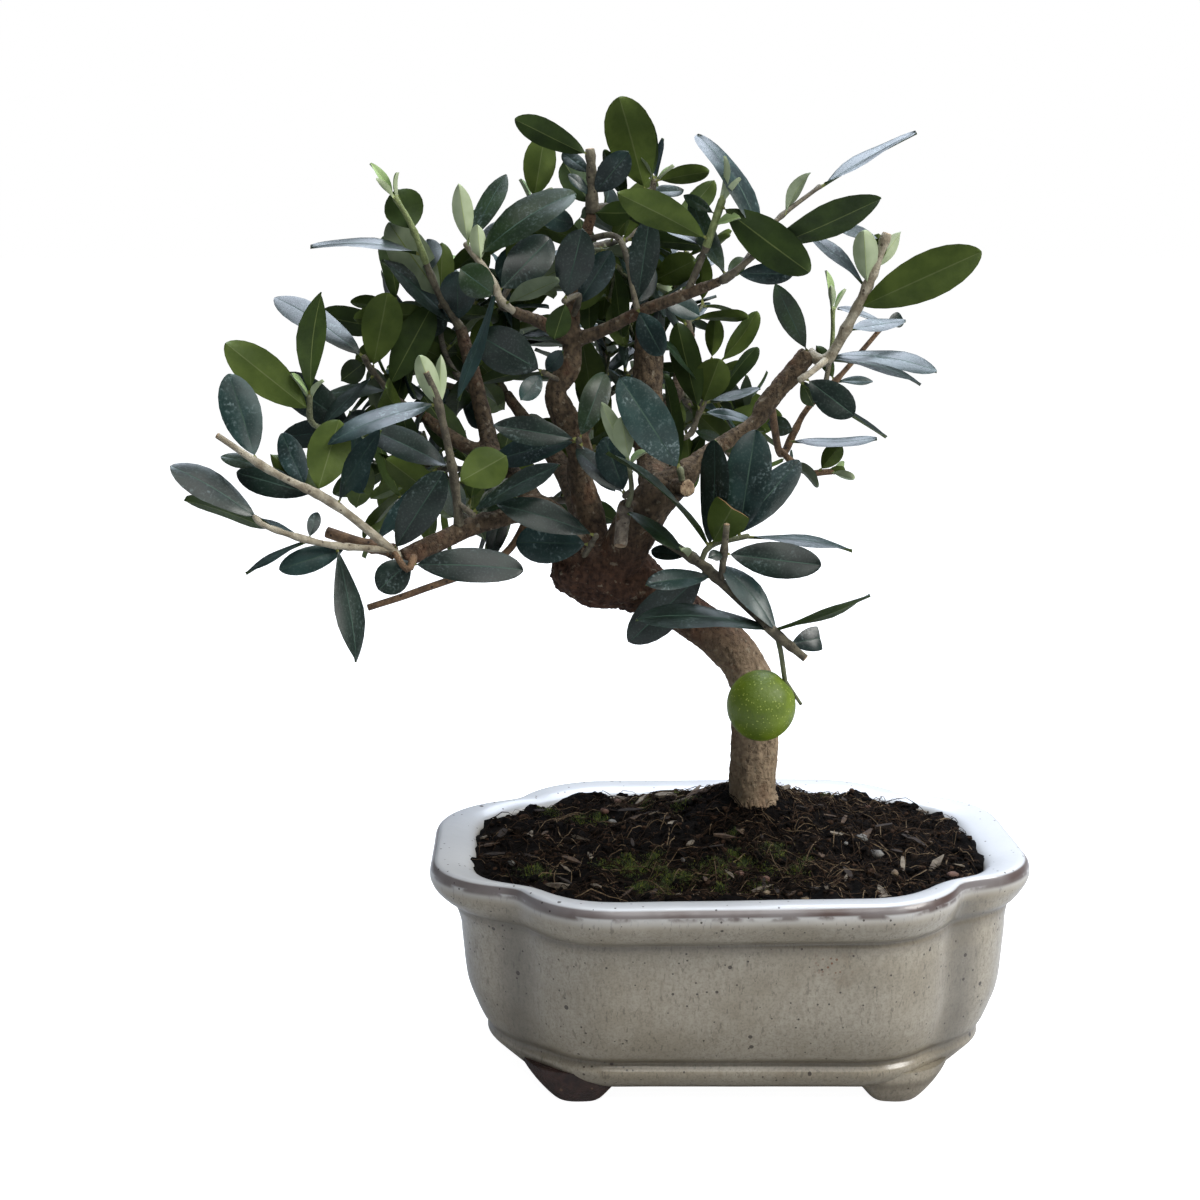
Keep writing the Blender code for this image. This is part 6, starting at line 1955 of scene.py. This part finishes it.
def olive_skin(effects):
    """Yellow-green with pale freckles and a few dark bruises."""
    skin = Finish("olive_skin", effects, 0.5, 0.05, Coat_Weight=0.06, Coat_Roughness=0.35)
    blush = skin.clouds(9.0, 0.35, 0.65, 2.0)
    skin.coat = skin.mix_tones(blush, (84, 104, 14), (112, 132, 22))
    freckles = skin.specks(0.85, 0.17, 0.95)
    skin.lay((164, 176, 84), freckles, 0.7)
    bruises = skin.clouds(2.2, 0.68, 0.76)
    skin.lay((66, 74, 26), bruises, 0.5)
    fine = skin.clouds(0.8, 0.3, 0.7)
    return skin.done(skin.scaled(fine, 0.46, 0.6), fine)


# ---- floor, light and camera ----
def make_floor():
    """Pale floor, seen a little brighter than it is lit so that it runs into the distance."""
    floor = Finish("pale_floor", {}, 0.9)
    floor.wear(Base_Color=tone(*FLOOR_TONE))
    glow = floor.node("Emission", {"Strength": FLOOR_GLOW})
    dark = floor.node("Emission", {"Strength": 0.0})
    both = floor.node("AddShader", {0: floor.surface.outputs[0], 1: floor.as_seen(dark, glow)})
    floor.feed(both.outputs[0], floor.tree.nodes["Material Output"].inputs["Surface"])
    mesh = bpy.data.meshes.new("floor")
    half = FLOOR_HALF * MM
    mesh.from_pydata([(-half, -half, 0), (half, -half, 0), (half, half, 0), (-half, half, 0)],
                     [], [(0, 1, 2, 3)])
    mesh.materials.append(floor.material)
    new_object("floor", mesh)


def make_world():
    """Even pale surroundings, seen a little brighter than they light."""
    world = bpy.data.worlds.new("studio")
    bpy.context.scene.world = world
    world.use_nodes = True
    web = Web(world.node_tree)
    seen = web.tree.nodes["Background"]
    web.feed((1, 1, 1, 1), seen.inputs["Color"])
    web.feed(SEEN_WORLD, seen.inputs["Strength"])
    lit = web.node("Background", {"Color": tone(*WORLD_TONE), "Strength": WORLD_LIGHT})
    web.feed(web.as_seen(lit, seen), web.tree.nodes["World Output"].inputs["Surface"])


def aim(obj, place, target):
    obj.location = place
    obj.rotation_mode = "QUATERNION"
    obj.rotation_quaternion = (target - place).to_track_quat("-Z", "Y")


def make_lights():
    middle = HOME + Vector(LIGHTS_TARGET) * MM
    for name, heading, climb, away, size, power, warmth in SOFT_LIGHTS:
        light = bpy.data.lights.new(name, "AREA")
        light.shape = "DISK"
        light.size = size * MM
        light.energy = power
        light.color = tone(*warmth)[:3]
        lamp = new_object(name, light)
        aim(lamp, middle + direction(heading, climb) * away * MM, middle)


def make_camera():
    lens = bpy.data.cameras.new("camera")
    lens.sensor_width = SENSOR
    lens.lens = LENS
    lens.clip_start = 0.01
    camera = new_object("camera", lens)
    target = HOME + Vector(CAMERA_TARGET) * MM
    aim(camera, target + direction(*CAMERA_FROM) * CAMERA_AWAY * MM, target)
    bpy.context.scene.camera = camera


# ---- whole ----
def make_tree(effects, looks):
    """Limbs, twigs, leaves and the olive."""
    paths = limb_paths()
    lines = limb_lines(paths)
    shoots = shoot_paths(paths)
    skins = [tube_mesh(points, [r + CLEAR for r in radii], 10)
             for points, radii in lines.values()]
    stems, leaves = grow(shoots, skins)
    masses = sorted({"foliage_" + row[1] for row in SHOOTS})
    make_bark(lines, bark_finish(effects), looks["cut_wood"], looks["grey_bark"])
    make_twigs(stems, leaves, named(looks, "twig"), masses)
    leaf_looks = [waxy_leaf(effects, *row) for row in WAXY_LEAVES]
    leaf_looks += [matt_leaf(effects, *row) for row in MATT_LEAVES]
    make_leaves(leaves, leaf_looks, masses)
    make_olive(shoots[OLIVE_STALK][-1], olive_skin(effects))


def named(looks, word):
    """The small finishes whose names hold a word, in the order of their table."""
    return [look for name, look in looks.items() if word in name]


def main():
    effects = make_effects()
    make_camera()
    make_lights()
    make_world()
    make_floor()
    looks = {name: small_finish(effects, name, *row) for name, row in SMALL_FINISHES.items()}
    glaze = cream_glaze(effects)
    noise.seed_set(WOBBLE_SEED)     # so that the pot's unevenness is the same in every run
    make_pot(glaze)
    make_feet(glaze, looks["bare_clay"])
    make_soil(looks["dark_soil"])
    make_crumbs(named(looks, "soil"))
    make_pebbles(named(looks, "pebble"))
    make_chips(named(looks, "chip"))
    make_fibres(named(looks, "fibre"))
    make_moss(named(looks, "moss"))
    make_tree(effects, looks)
    bpy.context.scene.view_settings.view_transform = "Standard"


main()
